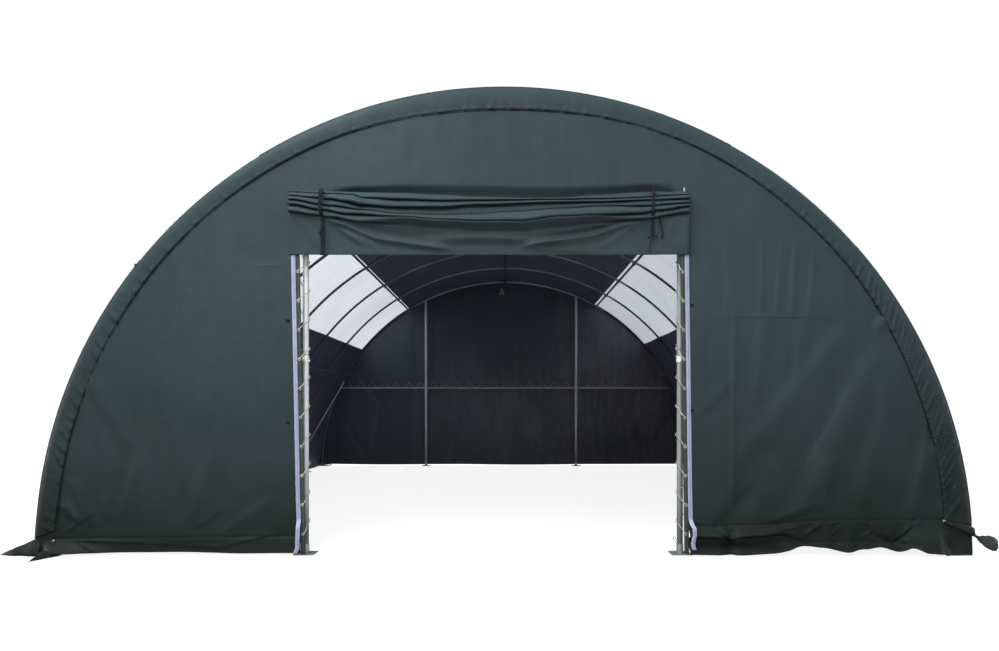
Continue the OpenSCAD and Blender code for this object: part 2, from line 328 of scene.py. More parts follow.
def make_woven_cloth():
    """Coated woven cloth: patchy tone, handling marks, and the relief of its threads."""
    group, given, end = new_group(
        "woven_cloth", {"Cloth": "Vector", "Place": "Vector", "Colour": "Color", "Deep": "Color"}, SURFACE)
    patches = cloud(group, given["Place"], 0.55, 4.0, 0.55)
    marks = cloud(group, scaled(group, given["Cloth"], (9.0, 1.4, 1.0)), 1.0, 5.0, 0.6)
    tone = math_node(group, "ADD", ranged(group, patches, 0.3, 0.7, 0.0, 0.75),
                     ranged(group, marks, 0.35, 0.7, 0.0, 0.35))
    weave = math_node(group, "MULTIPLY", threads(group, given["Cloth"], 0, THREAD_PITCH),
                      threads(group, given["Cloth"], 1, THREAD_PITCH))
    dents = cloud(group, given["Place"], 3.2, 4.0, 0.5)
    relief = math_node(group, "ADD", math_node(group, "MULTIPLY", weave, 0.12),
                       math_node(group, "MULTIPLY", marks, 0.9))
    relief = math_node(group, "ADD", relief, math_node(group, "MULTIPLY", dents, 9.0))
    feed(group, end, {"Colour": blended(group, tone, given["Colour"], given["Deep"]),
                      "Roughness": ranged(group, marks, 0.2, 0.8, 0.42, 0.60), "Height": relief})
    return group


def make_ground_damp_and_shade():
    """Damp and grime that rise from the ground and fade out above it, mixed with painted shade
    low down, which makes the mask a little stronger on the right."""
    group, given, end = new_group("ground_damp_and_shade", {"Place": "Vector", "Reach": "Float"}, {"Mask": "Float"})
    place = axes(group, given["Place"])
    share = math_node(group, "DIVIDE", place["Z"], given["Reach"])
    near = math_node(group, "ADD", ranged(group, share, 0.0, 1.0, 0.88, 0.0),
                     ranged(group, place["Z"], 0.0, 0.95, 0.45, 0.0))
    # Painted shade: the mask grows towards the right, where the low cloth lies in shade.
    near = math_node(group, "MULTIPLY", near, ranged(group, place["X"], 0.8, 3.2, 1.0, 1.17))
    patchy_damp_and_shade = ranged(group, cloud(group, given["Place"], 1.1, 5.0, 0.6), 0.3, 0.7, 0.72, 1.0)
    feed(group, end, {"Mask": math_node(group, "MULTIPLY", near, patchy_damp_and_shade)})
    return group


def make_zinc_spangle():
    """Hot dip zinc: pale crystal patches, and dull handling marks."""
    group, given, end = new_group("zinc_spangle", {"Place": "Vector", "Pale": "Color", "Dull": "Color"},
                                  SURFACE)
    crystals = new_node(group, "TexVoronoi", {"Vector": given["Place"], "Scale": 90.0}).outputs["Distance"]
    marks = cloud(group, given["Place"], 6.0, 5.0, 0.6)
    mask = math_node(group, "ADD", math_node(group, "MULTIPLY", crystals, 0.35),
                     ranged(group, marks, 0.3, 0.7, 0.0, 0.8))
    feed(group, end, {"Colour": blended(group, mask, given["Pale"], given["Dull"]),
                      "Roughness": ranged(group, marks, 0.2, 0.8, 0.32, 0.55), "Height": crystals})
    return group


WOVEN_CLOTH = make_woven_cloth()
GROUND_DAMP_AND_SHADE = make_ground_damp_and_shade()
ZINC_SPANGLE = make_zinc_spangle()


# ---------------------------------------------------------------- materials

# Dark tone near the ground: damp, and painted shade.
DAMP_AND_SHADE_TONE = (0.0106, 0.0152, 0.0128, 1)
# Tone of grime and painted shade low on the posts.
GRIME_AND_SHADE_TONE = (0.085, 0.095, 0.085, 1)


def new_material(name):
    """A material with its node tree, its shader, and the piece's own coordinates."""
    material = bpy.data.materials.new(name)
    material.use_nodes = True
    tree = material.node_tree
    return material, tree, tree.nodes["Principled BSDF"], new_node(tree, "TexCoord").outputs


def use_group(tree, group, **values):
    """The outputs of a group placed in a material, with its own values or links."""
    made = new_node(tree, "Group")
    made.node_tree = group
    return feed(tree, made, values).outputs


def raise_bump(tree, shader, height, strength, distance):
    bump = new_node(tree, "Bump", {"Height": height, "Strength": strength, "Distance": distance})
    tree.links.new(bump.outputs["Normal"], shader.inputs["Normal"])


def coated_cloth(name, colour, deep, damp_and_shade_reach=2.6, damp_and_shade_share=0.92, gloss=0.08, painted_light_tone=None):
    """Woven cloth with a coating, darkened near the ground by damp and painted shade, or with a painted
    light tone that grows towards its right.
    """
    material, tree, shader, where = new_material(name)
    place = where["Object"]
    # Painted light and shade over the back sheet's inside: the tone turns paler and browner to the right and
    # lower down.
    if painted_light_tone:
        along = axes(tree, place)
        streaks = cloud(tree, scaled(tree, place, (1.5, 1.0, 0.20)), 1.0, 3.0, 0.5)
        painted_light_share = math_node(tree, "ADD", ranged(tree, along["X"], -2.6, 2.8, -0.12, 0.70),
                           ranged(tree, streaks, 0.38, 0.62, -0.06, 0.20))
        painted_light_share = math_node(tree, "ADD", painted_light_share, ranged(tree, along["Z"], 1.9, 3.4, 0.10, -0.22))
        colour = blended(tree, painted_light_share, colour, painted_light_tone)
    weave = use_group(tree, WOVEN_CLOTH, Cloth=where["UV"], Place=place, Colour=colour, Deep=deep)
    # Damp and painted shade near the ground.
    patchy_damp_and_shade = use_group(tree, GROUND_DAMP_AND_SHADE, Place=place, Reach=damp_and_shade_reach)
    mask = math_node(tree, "MULTIPLY", patchy_damp_and_shade["Mask"], damp_and_shade_share)
    feed(tree, shader, {"Base Color": blended(tree, mask, weave["Colour"], DAMP_AND_SHADE_TONE),
                        "Roughness": weave["Roughness"], "Specular IOR Level": gloss})
    raise_bump(tree, shader, weave["Height"], 0.35, 0.004)
    return material


def light_cloth(name, colour, deep):
    """Pale woven skylight cloth that lets daylight through."""
    material, tree, shader, where = new_material(name)
    weave = use_group(tree, WOVEN_CLOTH, Cloth=where["UV"], Place=where["Object"], Colour=colour, Deep=deep)
    feed(tree, shader, {"Base Color": weave["Colour"], "Roughness": weave["Roughness"]})
    raise_bump(tree, shader, weave["Height"], 0.3, 0.004)
    glow = new_node(tree, "BsdfTranslucent", {"Color": weave["Colour"]})
    lit_through = shader_mix(tree, 0.62, shader.outputs[0], glow.outputs[0])
    tree.links.new(lit_through, tree.nodes["Material Output"].inputs["Surface"])
    return material


def zinc(name, pale, dull, metallic=0.75, gloss=0.5, grime_and_shade=0.0, painted_light_aloft=None, painted_light_below=None):
    """Galvanised steel, with grime and painted shade near the ground, or painted light under the ridge and
    low down.
    """
    material, tree, shader, where = new_material(name)
    place = where["Object"]
    spangle = use_group(tree, ZINC_SPANGLE, Place=place, Pale=pale, Dull=dull)
    colour = spangle["Colour"]
    # Grime and painted shade: darker near the ground.
    if grime_and_shade:
        patchy_damp_and_shade = use_group(tree, GROUND_DAMP_AND_SHADE, Place=place, Reach=1.1)
        colour = blended(tree, math_node(tree, "MULTIPLY", patchy_damp_and_shade["Mask"], grime_and_shade), colour, GRIME_AND_SHADE_TONE)
    # Painted light: paler under the ridge and low down than where the tubes cross the skylights.
    if painted_light_aloft:
        height = axes(tree, place)["Z"]
        colour = blended(tree, ranged(tree, height, 3.8, 4.15, 0.0, 1.0), colour, painted_light_aloft)
        colour = blended(tree, ranged(tree, height, 2.6, 2.95, 1.0, 0.0), colour, painted_light_below)
    feed(tree, shader, {"Base Color": colour, "Roughness": spangle["Roughness"], "Metallic": metallic,
                        "Specular IOR Level": gloss})
    raise_bump(tree, shader, spangle["Height"], 0.15, 0.0006)
    return material


def ribbed(name, colour, deep, pitch, roughness_low=0.55, gloss=0.4):
    """Narrow woven tape, webbing or rope, with ribs across its own map."""
    material, tree, shader, where = new_material(name)
    ribs = threads(tree, where["UV"], 1, pitch)
    marks = cloud(tree, where["Object"], 14.0, 4.0, 0.6)
    tone = math_node(tree, "ADD", math_node(tree, "MULTIPLY", ribs, 0.35),
                     ranged(tree, marks, 0.35, 0.7, 0.0, 0.6))
    feed(tree, shader, {"Base Color": blended(tree, tone, colour, deep), "Specular IOR Level": gloss,
                        "Roughness": ranged(tree, marks, 0.2, 0.8, roughness_low, roughness_low + 0.25)})
    raise_bump(tree, shader, ribs, 0.5, 0.001)
    return material


GREEN_OUT = coated_cloth("cover_cloth_outside", (0.0382, 0.0572, 0.0608, 1), (0.0278, 0.0428, 0.0436, 1))
GREEN_IN = coated_cloth("cover_cloth_inside", (0.164, 0.171, 0.258, 1), (0.125, 0.130, 0.198, 1), 1.2, 0.3)
# The back sheet's inside: its teal tone is painted light from the skylights, with painted light and shade
# towards the right.
GREEN_BACK = coated_cloth("back_cloth_inside", (0.080, 0.116, 0.156, 1), (0.108, 0.113, 0.138, 1), 1.2, 0.3,
                          painted_light_tone=(0.290, 0.272, 0.280, 1))
SKY_CLOTH = light_cloth("skylight_cloth", (0.765, 0.760, 0.775, 1), (0.64, 0.645, 0.68, 1))
ZIP_WHITE = ribbed("zip_tape_white", (0.40, 0.40, 0.53, 1), (0.30, 0.30, 0.43, 1), 0.006)
ZIP_TEETH = ribbed("zip_teeth_grey", (0.34, 0.35, 0.46, 1), (0.20, 0.21, 0.30, 1), 0.012)
STRIP_GREEN = ribbed("lacing_strip_green", (0.016, 0.030, 0.028, 1), (0.010, 0.018, 0.018, 1), 0.008)
STRIP_OLIVE = ribbed("lacing_line_olive", (0.055, 0.070, 0.052, 1), (0.035, 0.046, 0.036, 1), 0.008)
STRAP_BLACK = ribbed("strap_webbing_black", (0.012, 0.012, 0.018, 1), (0.006, 0.006, 0.009, 1), 0.005, 0.7,
                     0.15)
STRAP_LINING = coated_cloth("strap_lining", (0.051, 0.063, 0.043, 1), (0.037, 0.046, 0.031, 1), 1.2, 0.2)
ROPE_CREAM = ribbed("rope_cream", (0.56, 0.53, 0.45, 1), (0.36, 0.33, 0.27, 1), 0.012)
# Dark cord, partly painted shade of the groove beside the band's hem.
DARK_CORD_AND_SHADE = ribbed("hem_cord_dark_and_shade", (0.022, 0.024, 0.022, 1), (0.014, 0.015, 0.014, 1), 0.010, 0.8, 0.05)
# A dimmer copy of rope_cream, as painted shade on the back lacing inside.
ROPE_SHADED = ribbed("rope_shaded", (0.48, 0.46, 0.42, 1), (0.32, 0.30, 0.28, 1), 0.012)
CORD_PALE = ribbed("toggle_cord_pale", (0.62, 0.60, 0.66, 1), (0.42, 0.41, 0.46, 1), 0.010, 0.8, 0.05)
ZINC_POST = zinc("zinc_post_tube", (0.88, 0.89, 0.86, 1), (0.70, 0.71, 0.69, 1), 0.10, 0.5, 1.0)
# A darker copy of zinc_post_tube, as painted shade on the right door post.
ZINC_SHADED_POST = zinc("zinc_shaded_post_tube", (0.38, 0.39, 0.37, 1), (0.26, 0.27, 0.26, 1), 0.10, 0.5, 0.9)
# Arch tubes: a dark tone as painted shade where they stand against the skylights, with painted light under
# the ridge and low down.
ZINC_TUBE = zinc("zinc_arch_tube", (0.085, 0.085, 0.095, 1), (0.055, 0.055, 0.065, 1), 0.0, 0.10, 0.0,
                 (0.86, 0.82, 0.84, 1), (0.26, 0.24, 0.24, 1))
# Purlins, braces, header and ridge tube: dark tones as painted shade inside the building.
ZINC_BRACE = zinc("zinc_brace_tube", (0.20, 0.20, 0.22, 1), (0.13, 0.13, 0.15, 1), 0.0, 0.10)
ZINC_RIDGE = zinc("zinc_ridge_tube", (0.10, 0.10, 0.12, 1), (0.07, 0.07, 0.085, 1), 0.0, 0.05)
# The back posts' pale tone is partly a painted highlight, and their grime near the ground partly painted
# shade.
ZINC_BACK = zinc("zinc_back_post", (0.90, 0.91, 0.93, 1), (0.66, 0.67, 0.70, 1), 0.10, 0.4, 0.8)
ZINC_GIRT = zinc("zinc_back_girt", (0.56, 0.56, 0.58, 1), (0.34, 0.34, 0.36, 1), 0.10, 0.3)
ZINC_PLATE = zinc("zinc_plate", (0.34, 0.35, 0.35, 1), (0.20, 0.21, 0.21, 1), 0.6)
ZINC_BOLT = zinc("zinc_bolt", (0.70, 0.70, 0.68, 1), (0.42, 0.42, 0.42, 1), 0.9)
BRASS = zinc("grommet_brass", (0.62, 0.52, 0.30, 1), (0.40, 0.33, 0.20, 1), 0.85)


# ---------------------------------------------------------------- mesh builders

CLOTH_THICK = 0.0025
# Height at which a hem lies on the ground
LAID = 0.004


def finish_mesh(name, mesh, *materials):
    """A new object from a bmesh, with its materials."""
    data = bpy.data.meshes.new(name)
    mesh.to_mesh(data)
    mesh.free()
    for material in materials:
        data.materials.append(material)
    return new_object(name, data)


def map_cloth(mesh, place, smooth=True):
    """Gives a sheet its own map, in metres, where place says each point lies on it."""
    spread = mesh.loops.layers.uv.new("cloth")
    for face in mesh.faces:
        face.smooth = smooth
        for loop in face.loops:
            loop[spread].uv = place(loop.vert.co)


def sewn(name, mesh, towards, materials, thick=CLOTH_THICK):
    """The finished sheet, turned to the side that towards(point) gives, with the real thickness
    of its cloth and the last material on its inner side."""
    mesh.normal_update()
    facing = sum(face.normal.dot(towards(face.calc_center_median())) for face in mesh.faces)
    if facing < 0:
        bmesh.ops.reverse_faces(mesh, faces=mesh.faces)
    piece = finish_mesh(name, mesh, *materials)
    if thick:
        wall = piece.modifiers.new("thickness", "SOLIDIFY")
        wall.thickness = thick
        wall.offset = -1
        wall.material_offset = len(materials) - 1
        wall.material_offset_rim = 0
    return piece


def cloth(name, columns, rows, size, place, towards, *materials, thick=CLOTH_THICK):
    """A sheet of cloth: place(u, v) says where the point at a share u across and v along goes.
    size is its width and length, for its own map, and towards(point) its outer side."""
    mesh = bmesh.new()
    bmesh.ops.create_grid(mesh, x_segments=columns, y_segments=rows, size=0.5)
    map_cloth(mesh, lambda share: ((share.x + 0.5) * size[0], (share.y + 0.5) * size[1]))
    for vert in mesh.verts:
        vert.co = place(vert.co.x + 0.5, vert.co.y + 0.5)
    return sewn(name, mesh, towards, materials, thick)


def outwards(point):
    return Vector((point.x, 0, point.z))


def frontwards(point):
    return Vector((0, -1, 0))


def backwards(point):
    return Vector((0, 1, 0))


def upwards(point):
    return Vector((0, 0, 1))


def ride_root(piece, slot, *nodes):
    """Fixes a piece to the building, and hides the nodes it replaces. Its slot is not used."""
    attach(piece, "root")
    if nodes:
        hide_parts(*nodes)


# ---------------------------------------------------------------- main cover

COVER_REST = COVER_R - 0.003
COVER_SAG = 0.028
COVER_END = FACE_Y - 0.012
COVER_LONG = 2 * COVER_END
HEM_LONG = 0.15
# The corners of the side walls, where the hem is drawn in to the end sheets
CORNER_Y = 5.45
WELD_WIDE = 0.04
WELD_PITCH = 1.525


def cover_radius(angle, y):
    """How far out the cover lies: on the arches, and drawn in a little between them."""
    bay_share = ((y - ARCH_YS[0]) / BAY) % 1.0
    spanning = 1.0 if abs(y) < ARCH_YS[-1] else 0.0
    sag = COVER_SAG * (4 * bay_share * (1 - bay_share)) ** 0.8 * spanning
    above = abs(math.sin(angle))
    slack = between(above, 0.012, 0.004) * spanning
    wrinkle = slack * ripple(y * 3.1, angle * 1.6, 4.0) + 0.6 * slack * ripple(y * 1.3, angle * 5.0, 9.0)
    drag = math.sin(angle * 9.0 + (bay_share - 0.5) * 5.0) ** 8
    wrinkle += 0.010 * drag * (1 - bay_share) * bay_share * 4 * spanning
    return COVER_REST - sag + wrinkle * (4 * bay_share * (1 - bay_share)) ** 0.5


def cover_point(angle, y, lift=0.0):
    r = cover_radius(angle, y) + lift
    return Vector((r * math.cos(angle), y, r * math.sin(angle)))


def cover_strip(name, start, end, columns, rows, wide, *materials, lift=None, thick=CLOTH_THICK):
    """A strip of the cover between two angles above the ground on the right. lift(angle, y, v)
    says how far it stands off the cover."""
    def place(u, v):
        angle, y = between(v, start, end), between(u, -COVER_END, COVER_END)
        return cover_point(angle, y, lift(angle, y, v) if lift else 0.0)

    return cloth(name, columns, rows, (COVER_LONG, wide), place, outwards, *materials, thick=thick)


def wall_arc(side):
    """Length of a side wall round its arc, from its skylight down to the ground."""
    return COVER_R * (RIGHT_LOW if side > 0 else math.pi - LEFT_LOW)


def wall_with_hem(name, side):
    """One side wall of the cover, from its skylight down to the hem that lies on the ground."""
    arc = wall_arc(side)

    def place(u, v):
        y = between(u, -COVER_END, COVER_END)
        down = stretched(v, [(0, 0), (0.55, 0.80), (1, 1)]) * (arc + HEM_LONG)
        at_corner = ease((abs(y) - CORNER_Y) / 0.5)
        tuck = 0.055 * at_corner if side > 0 else 0.0
        bulge = 0.018 + 0.016 * ripple(y * 1.7, 2.0) + 0.007 * ripple(y * 7.0, 3.0)
        point = cover_point((arc - min(down, arc)) / COVER_R, y)
        point.x += ease((down - arc + 0.35) / 0.35) * (bulge * (1 - at_corner) - tuck)
        point.x -= 0.006 * math.exp(-(((down - arc + 0.26) / 0.016) ** 2))
        over = max(down - arc, 0.0)
        wave = 0.5 + 0.5 * ripple(y * 1.2, 5.0)
        point.x += over * between(wave, 0.75, 0.98) * (1 - 0.9 * at_corner)
        if over > 0:
            point.z = LAID + 0.018 * wave * ease(over / HEM_LONG) * ease((HEM_LONG - over) / 0.06)
        return Vector((side * point.x, point.y, max(point.z, LAID)))

    return cloth(name, 310, 56, (COVER_LONG, arc + HEM_LONG), place, lambda p: outwards(p) + upwards(p),
                 GREEN_OUT, GREEN_IN)


def dress_cover():
    for side, name, nodes in ((-1, "cover_left_side", ("cover_left_wall", "left_ground_skirt")),
                              (1, "cover_right_side", ("cover_right_wall", "right_ground_skirt"))):
        wall = wall_with_hem(name, side)
        ride_root(wall, "cover_fabric", *nodes)
    wide = COVER_R * (LEFT_HIGH - RIGHT_HIGH)
    crown = cover_strip("cover_top", RIGHT_HIGH, LEFT_HIGH, 260, 52, wide, GREEN_OUT, GREEN_IN)
    ride_root(crown, "cover_fabric", "cover_crown")


def skylight_gather(angle, y, v):
    """The small gathers of a skylight strip, which die out at its two welds."""
    return 0.006 * ripple(y * 9.0, angle * 3.0, 1.0) * ease(v * 4) * ease((1 - v) * 4)


def dress_skylights():
    wide = COVER_R * (RIGHT_HIGH - RIGHT_LOW)
    for name, node, start, end in (("skylight_right", "right_skylight", RIGHT_LOW, RIGHT_HIGH),
                                   ("skylight_left", "left_skylight", LEFT_HIGH, LEFT_LOW)):
        piece = cover_strip(name, start, end, 360, 30, wide, SKY_CLOTH, lift=skylight_gather, thick=0)
        ride_root(piece, "skylight_fabric", node)


def weld_cover():
    """Overlapped welds along the cover's joints with its skylights, and across its lengths."""
    half = WELD_WIDE / 2 / COVER_R
    for name, angle in (("weld_right_low", RIGHT_LOW), ("weld_right_high", RIGHT_HIGH),
                        ("weld_left_high", LEFT_HIGH), ("weld_left_low", LEFT_LOW)):
        weld = cover_strip(name, angle - half, angle + half, 260, 2, WELD_WIDE, GREEN_OUT, GREEN_IN,
                           lift=lambda angle, y, v: 0.0015)
        ride_root(weld, "cover_fabric")
    mesh = bmesh.new()
    for k in range(-3, 4):
        for start, end in ((0.10, RIGHT_LOW), (RIGHT_HIGH, LEFT_HIGH), (LEFT_LOW, math.pi - 0.10)):
            made = bmesh.ops.create_grid(mesh, x_segments=2, y_segments=60, size=0.5)
            for vert in made["verts"]:
                angle = between(vert.co.y + 0.5, start, end)
                vert.co = cover_point(angle, WELD_PITCH * k + 0.036 * vert.co.x, 0.0018)
    map_cloth(mesh, lambda at: (at.y, COVER_R * math.atan2(at.z, at.x)), smooth=False)
    ride_root(sewn("cover_cross_welds", mesh, outwards, (GREEN_OUT, GREEN_IN), thick=0), "cover_fabric")


# ---------------------------------------------------------------- end bands

BAND_WIDE = 0.31
BAND_LONG = math.pi * COVER_R
# How far the band laps back over the cover, and how far its edge rounds in across and along
BAND_LAP = 0.10
BAND_ROUND = (0.075, 0.032)
# How far along the band a slanting gather can reach
GATHER_REACH = 0.45


def band_width(angle):
    """How far the band reaches in over the end, from its edge to its drawn hem."""
    degrees = math.degrees(angle)
    return along_points([(0, 0.275), (14, 0.245), (40, 0.195), (62, 0.180), (90, 0.235),
                         (118, 0.185), (140, 0.180), (165, 0.200), (180, 0.215)], degrees)


def hem_gathers():
    """Creases that the drawn cord makes: place along the arc, slant, reach across the band,
    half width and height. They are close on the right leg, and far apart over the top."""
    made = []
    arc = 0.12
    while arc < BAND_LONG - 0.1:
        chance = [ripple(len(made) * 1.73, k * 4.1) for k in range(4)]
        leg = max(ease((4.4 - arc) / 2.2), 0.6 * ease((3.8 - BAND_LONG + arc) / 2.2))
        slant = (0.35 + 1.1 * leg) * (1 + 0.6 * chance[0])
        reach = min(between(leg, 0.35, 0.80) * (1 + 0.8 * chance[1]), 1.0)
        half = between(leg, 0.020, 0.015) * (1 + 0.5 * chance[2])
        height = between(leg, 0.010, 0.015) * (1 + 0.9 * chance[3])
        made.append((arc, slant if arc < BAND_LONG / 2 else -slant, reach, half, height))
        arc += between(leg, 0.20, 0.075) * (1 + 0.7 * chance[1])
    return made


GATHERS = hem_gathers()


def band_relief(angle, across, width):
    """How far the band stands off its flat place, with the gathers of its drawn hem."""
    arc = angle * COVER_R
    relief = 0.012 * math.sin(math.pi * across) + 0.006 * ripple(arc * 1.1, across * 0.6, 5.0)
    relief += 0.003 * ease(across / 0.6) * ripple(arc * 18.0, across * 0.9, 2.0)
    first = bisect.bisect_left(GATHERS, (arc - GATHER_REACH,))
    for place, slant, reach, half, height in GATHERS[first:]:
        if place > arc + GATHER_REACH:
            break
        off = (arc - place - slant * (1 - across) * width) / half
        crest = math.exp(-(off ** 2)) - 0.7 * math.exp(-((off - 1.7) ** 2))
        relief += height * ease((across - 1 + reach) / 0.3) * crest
    return relief


# Height at which the bands end above the ground: at the outer edge and at the hem
BAND_ENDS = {"right": (0.31, 0.356), "left": (0.165, 0.262)}


def band_angle(u, across):
    """Angle of a place along the band, whose two ends are cut a little askew."""
    right = math.asin(between(across, *BAND_ENDS["right"]) / COVER_R)
    left = math.pi - math.asin(between(across, *BAND_ENDS["left"]) / COVER_R)
    return between(u, right, left)


def band(name, end, columns):
    """The cover's edge that folds round onto one end; end is -1 at the front, 1 at the back."""
    radial, axial = BAND_ROUND

    def place(u, v):
        u = stretched(u, [(0, 0), (0.32, 0.22), (0.68, 0.78), (1, 1)])
        width = band_width(u * math.pi)
        inwards = v * (BAND_LAP + width) - BAND_LAP
        across = max(inwards / width, 0.0)
        angle = band_angle(u, across)
        if inwards < -axial:
            r, y = COVER_R, FACE_Y + inwards
        elif inwards < radial:
            turn = (inwards + axial) / (radial + axial) * math.pi / 2
            r = COVER_R - radial * (1 - math.cos(turn))
            y = FACE_Y - axial * (1 - math.sin(turn))
        else:
            r, y = COVER_R - inwards, FACE_Y
        y += band_relief(angle, across, width) * ease(across / 0.12)
        if across > 0.90:
            y += 0.007 * math.sin((across - 0.90) / 0.10 * math.pi)
            y -= 0.011 * ease((across - 0.95) / 0.05)
        r += 0.012 * ease((u - 0.965) / 0.035)
        return Vector((r * math.cos(angle), end * y, max(r * math.sin(angle), LAID)))

    towards = frontwards if end < 0 else backwards
    return cloth(name, columns, 20, (BAND_LONG, BAND_WIDE), place, towards, GREEN_OUT, GREEN_IN)


def hem_cord(name, end):
    """The dark cord drawn through the band's hem, which shows in the groove beside it; it also stands in as
    painted shade of that groove.
    """
    points = []
    for k in range(181):
        angle = band_angle(k / 180, 1.0)
        r = COVER_R - band_width(math.pi * k / 180) - 0.003
        points.append(Vector((r * math.cos(angle), end * (SHEET_Y + 0.003), r * math.sin(angle))))
    return round_cord(name, points, 0.0035, DARK_CORD_AND_SHADE)


def dress_bands():
    for name, node, arch, end, columns in (("front_band_hem", "front_band", "front_arch", -1, 1040),
                                           ("back_band_hem", "back_band", "back_arch", 1, 500)):
        piece = band(name, end, columns)
        ride_root(piece, "cover_fabric", node)
        ride_root(hem_cord(name + "_cord", end), "strap_webbing")


# ---------------------------------------------------------------- corner tails

# The strap end of the hem on the right at the front: its route away from the knot, its widths
# and the turns that twist it, all at even steps
TAIL_ROUTE = [
    (4.272, -6.118, 0.340), (4.36, -6.124, 0.312), (4.47, -6.128, 0.282), (4.555, -6.125, 0.235),
    (4.590, -6.120, 0.190), (4.640, -6.120, 0.165), (4.692, -6.125, 0.142), (4.740, -6.130, 0.122),
    (4.772, -6.130, 0.107), (4.787, -6.130, 0.099)]
TAIL_WIDTHS = [0.020, 0.044, 0.070, 0.084, 0.030, 0.078, 0.126, 0.138, 0.116, 0.050]
TAIL_TURNS = [0.9, 0.8, 0.7, 0.5, 2.2, 2.9, 3.5, 3.7, 3.75, 3.8]
TAIL_TWIST_X = 4.58


def corner_flap(name, inner, outer, tip, ridge):
    """A folded end of the hem that lies on the ground: from a base line between two points out
    to its tip, with a ridge of that height at the base."""
    def place(u, v):
        point = inner.lerp(outer, u).lerp(tip, v)
        crown = math.sin(math.pi * u) ** 0.8
        point.z += ridge * crown * (1 - v) ** 0.9 * (1 + 0.15 * ripple(u * 5, v * 4, 2.0))
        point.y -= 0.03 * math.sin(math.pi * v) * ripple(v * 3, 1.0)
        point.z += 0.010 * abs(ripple(u * 7.0, v * 9.0, 4.0)) * (1 - v)
        return point

    size = ((inner - outer).length + ridge, ((inner + outer) / 2 - tip).length)
    ride_root(cloth(name, 14, 26, size, place, upwards, GREEN_OUT, GREEN_IN), "cover_fabric")


def twisted_tail(name, end):
    """The strap end of the hem on the right, twisted once and opened out like a paddle."""
    points = smooth_route([Vector(place) for place in TAIL_ROUTE], 5)

    def place(u, v):
        share = v * (len(TAIL_WIDTHS) - 1)
        k = min(int(share), len(TAIL_WIDTHS) - 2)
        width = between(ease(share - k), TAIL_WIDTHS[k], TAIL_WIDTHS[k + 1])
        angle = between(ease(share - k), TAIL_TURNS[k], TAIL_TURNS[k + 1])
        across = Vector((0.35 * math.cos(angle), 0.5 * math.sin(angle), math.cos(angle))).normalized()
        curl = 0.012 * math.cos(math.pi * (u - 0.5)) * width / 0.1
        point = point_along(points, v) + across * (u - 0.5) * width + Vector((0, -curl, 0))
        return Vector((point.x, -end * point.y, point.z))

    def outer_side(point):
        """It faces out of the building up to the twist, and into it beyond."""
        return Vector((0, -end if point.x > TAIL_TWIST_X else end, 0))

    tail = cloth(name, 8, 60, (0.10, 0.62), place, outer_side, GREEN_OUT, STRAP_LINING, thick=0.002)
    ride_root(tail, "cover_fabric")


def dress_corners():
    for end, word in ((-1, "front"), (1, "back")):
        corner_flap("corner_tail_left_" + word, Vector((-4.56, end * 5.86, 0.004)),
                    Vector((-4.50, end * 6.16, 0.004)), Vector((-4.905, end * 6.10, 0.008)), 0.17)
        corner_flap("corner_point_left_" + word, Vector((-4.30, end * 6.10, 0.006)),
                    Vector((-4.52, end * 6.10, 0.006)), Vector((-4.44, end * 6.42, 0.004)), 0.06)
        twisted_tail("corner_strap_right_" + word, end)
        for side, x, z in (("right_", 4.270, 0.342), ("left_", -4.372, 0.150)):
            turns = [1.5 * math.pi * k / 30 for k in range(31)]
            points = [Vector((x + 0.008 * math.cos(t) * (1 + 0.3 * math.sin(2 * t)),
                              end * (6.118 + 0.006 * math.sin(3 * t)), z + 0.009 * math.sin(t)))
                      for t in turns]
            ride_root(round_cord("corner_knot_" + side + word, points, 0.004, ROPE_CREAM), "rope")


# ---------------------------------------------------------------- cords and ropes

ROPE_LAY = 0.035


def rope_section(name, radius, strands):
    """The outline across a laid rope, with a groove between its strands."""
    data = bpy.data.curves.new(name, "CURVE")
    data.dimensions = "2D"
    ring = data.splines.new("POLY")
    sides = strands * 4
    ring.points.add(sides - 1)
    for k in range(sides):
        turn = 2 * math.pi * k / sides
        r = radius * (1 - 0.22 * math.sin(strands * turn / 2) ** 2)
        ring.points[k].co = (r * math.cos(turn), r * math.sin(turn), 0, 1)
    ring.use_cyclic_u = True
    return new_object(name, data)


def round_cord(name, points, radius, material, strands=0):
    """A cord along the points; with strands it is a laid rope that turns once in ROPE_LAY."""
    data = bpy.data.curves.new(name, "CURVE")
    data.dimensions = "3D"
    data.use_fill_caps = True
    spline = data.splines.new("POLY")
    spline.points.add(len(points) - 1)
    travelled = 0.0
    for i, point in enumerate(points):
        if i:
            travelled += (point - points[i - 1]).length
        spline.points[i].co = (*point, 1)
        spline.points[i].tilt = 2 * math.pi * travelled / ROPE_LAY if strands else 0.0
    if strands:
        data.bevel_mode = "OBJECT"
        data.bevel_object = rope_section(name + "_section", radius, strands)
    else:
        data.bevel_depth = radius
        data.bevel_resolution = 1
    curve = new_object(name + "_line", data)
    graph = bpy.context.evaluated_depsgraph_get()
    made = bpy.data.meshes.new_from_object(curve.evaluated_get(graph))
    made.name = name
    if strands:
        bpy.data.objects.remove(data.bevel_object)
    bpy.data.objects.remove(curve)
    for polygon in made.polygons:
        polygon.use_smooth = True
    made.materials.clear()
    made.materials.append(material)
    return new_object(name, made)


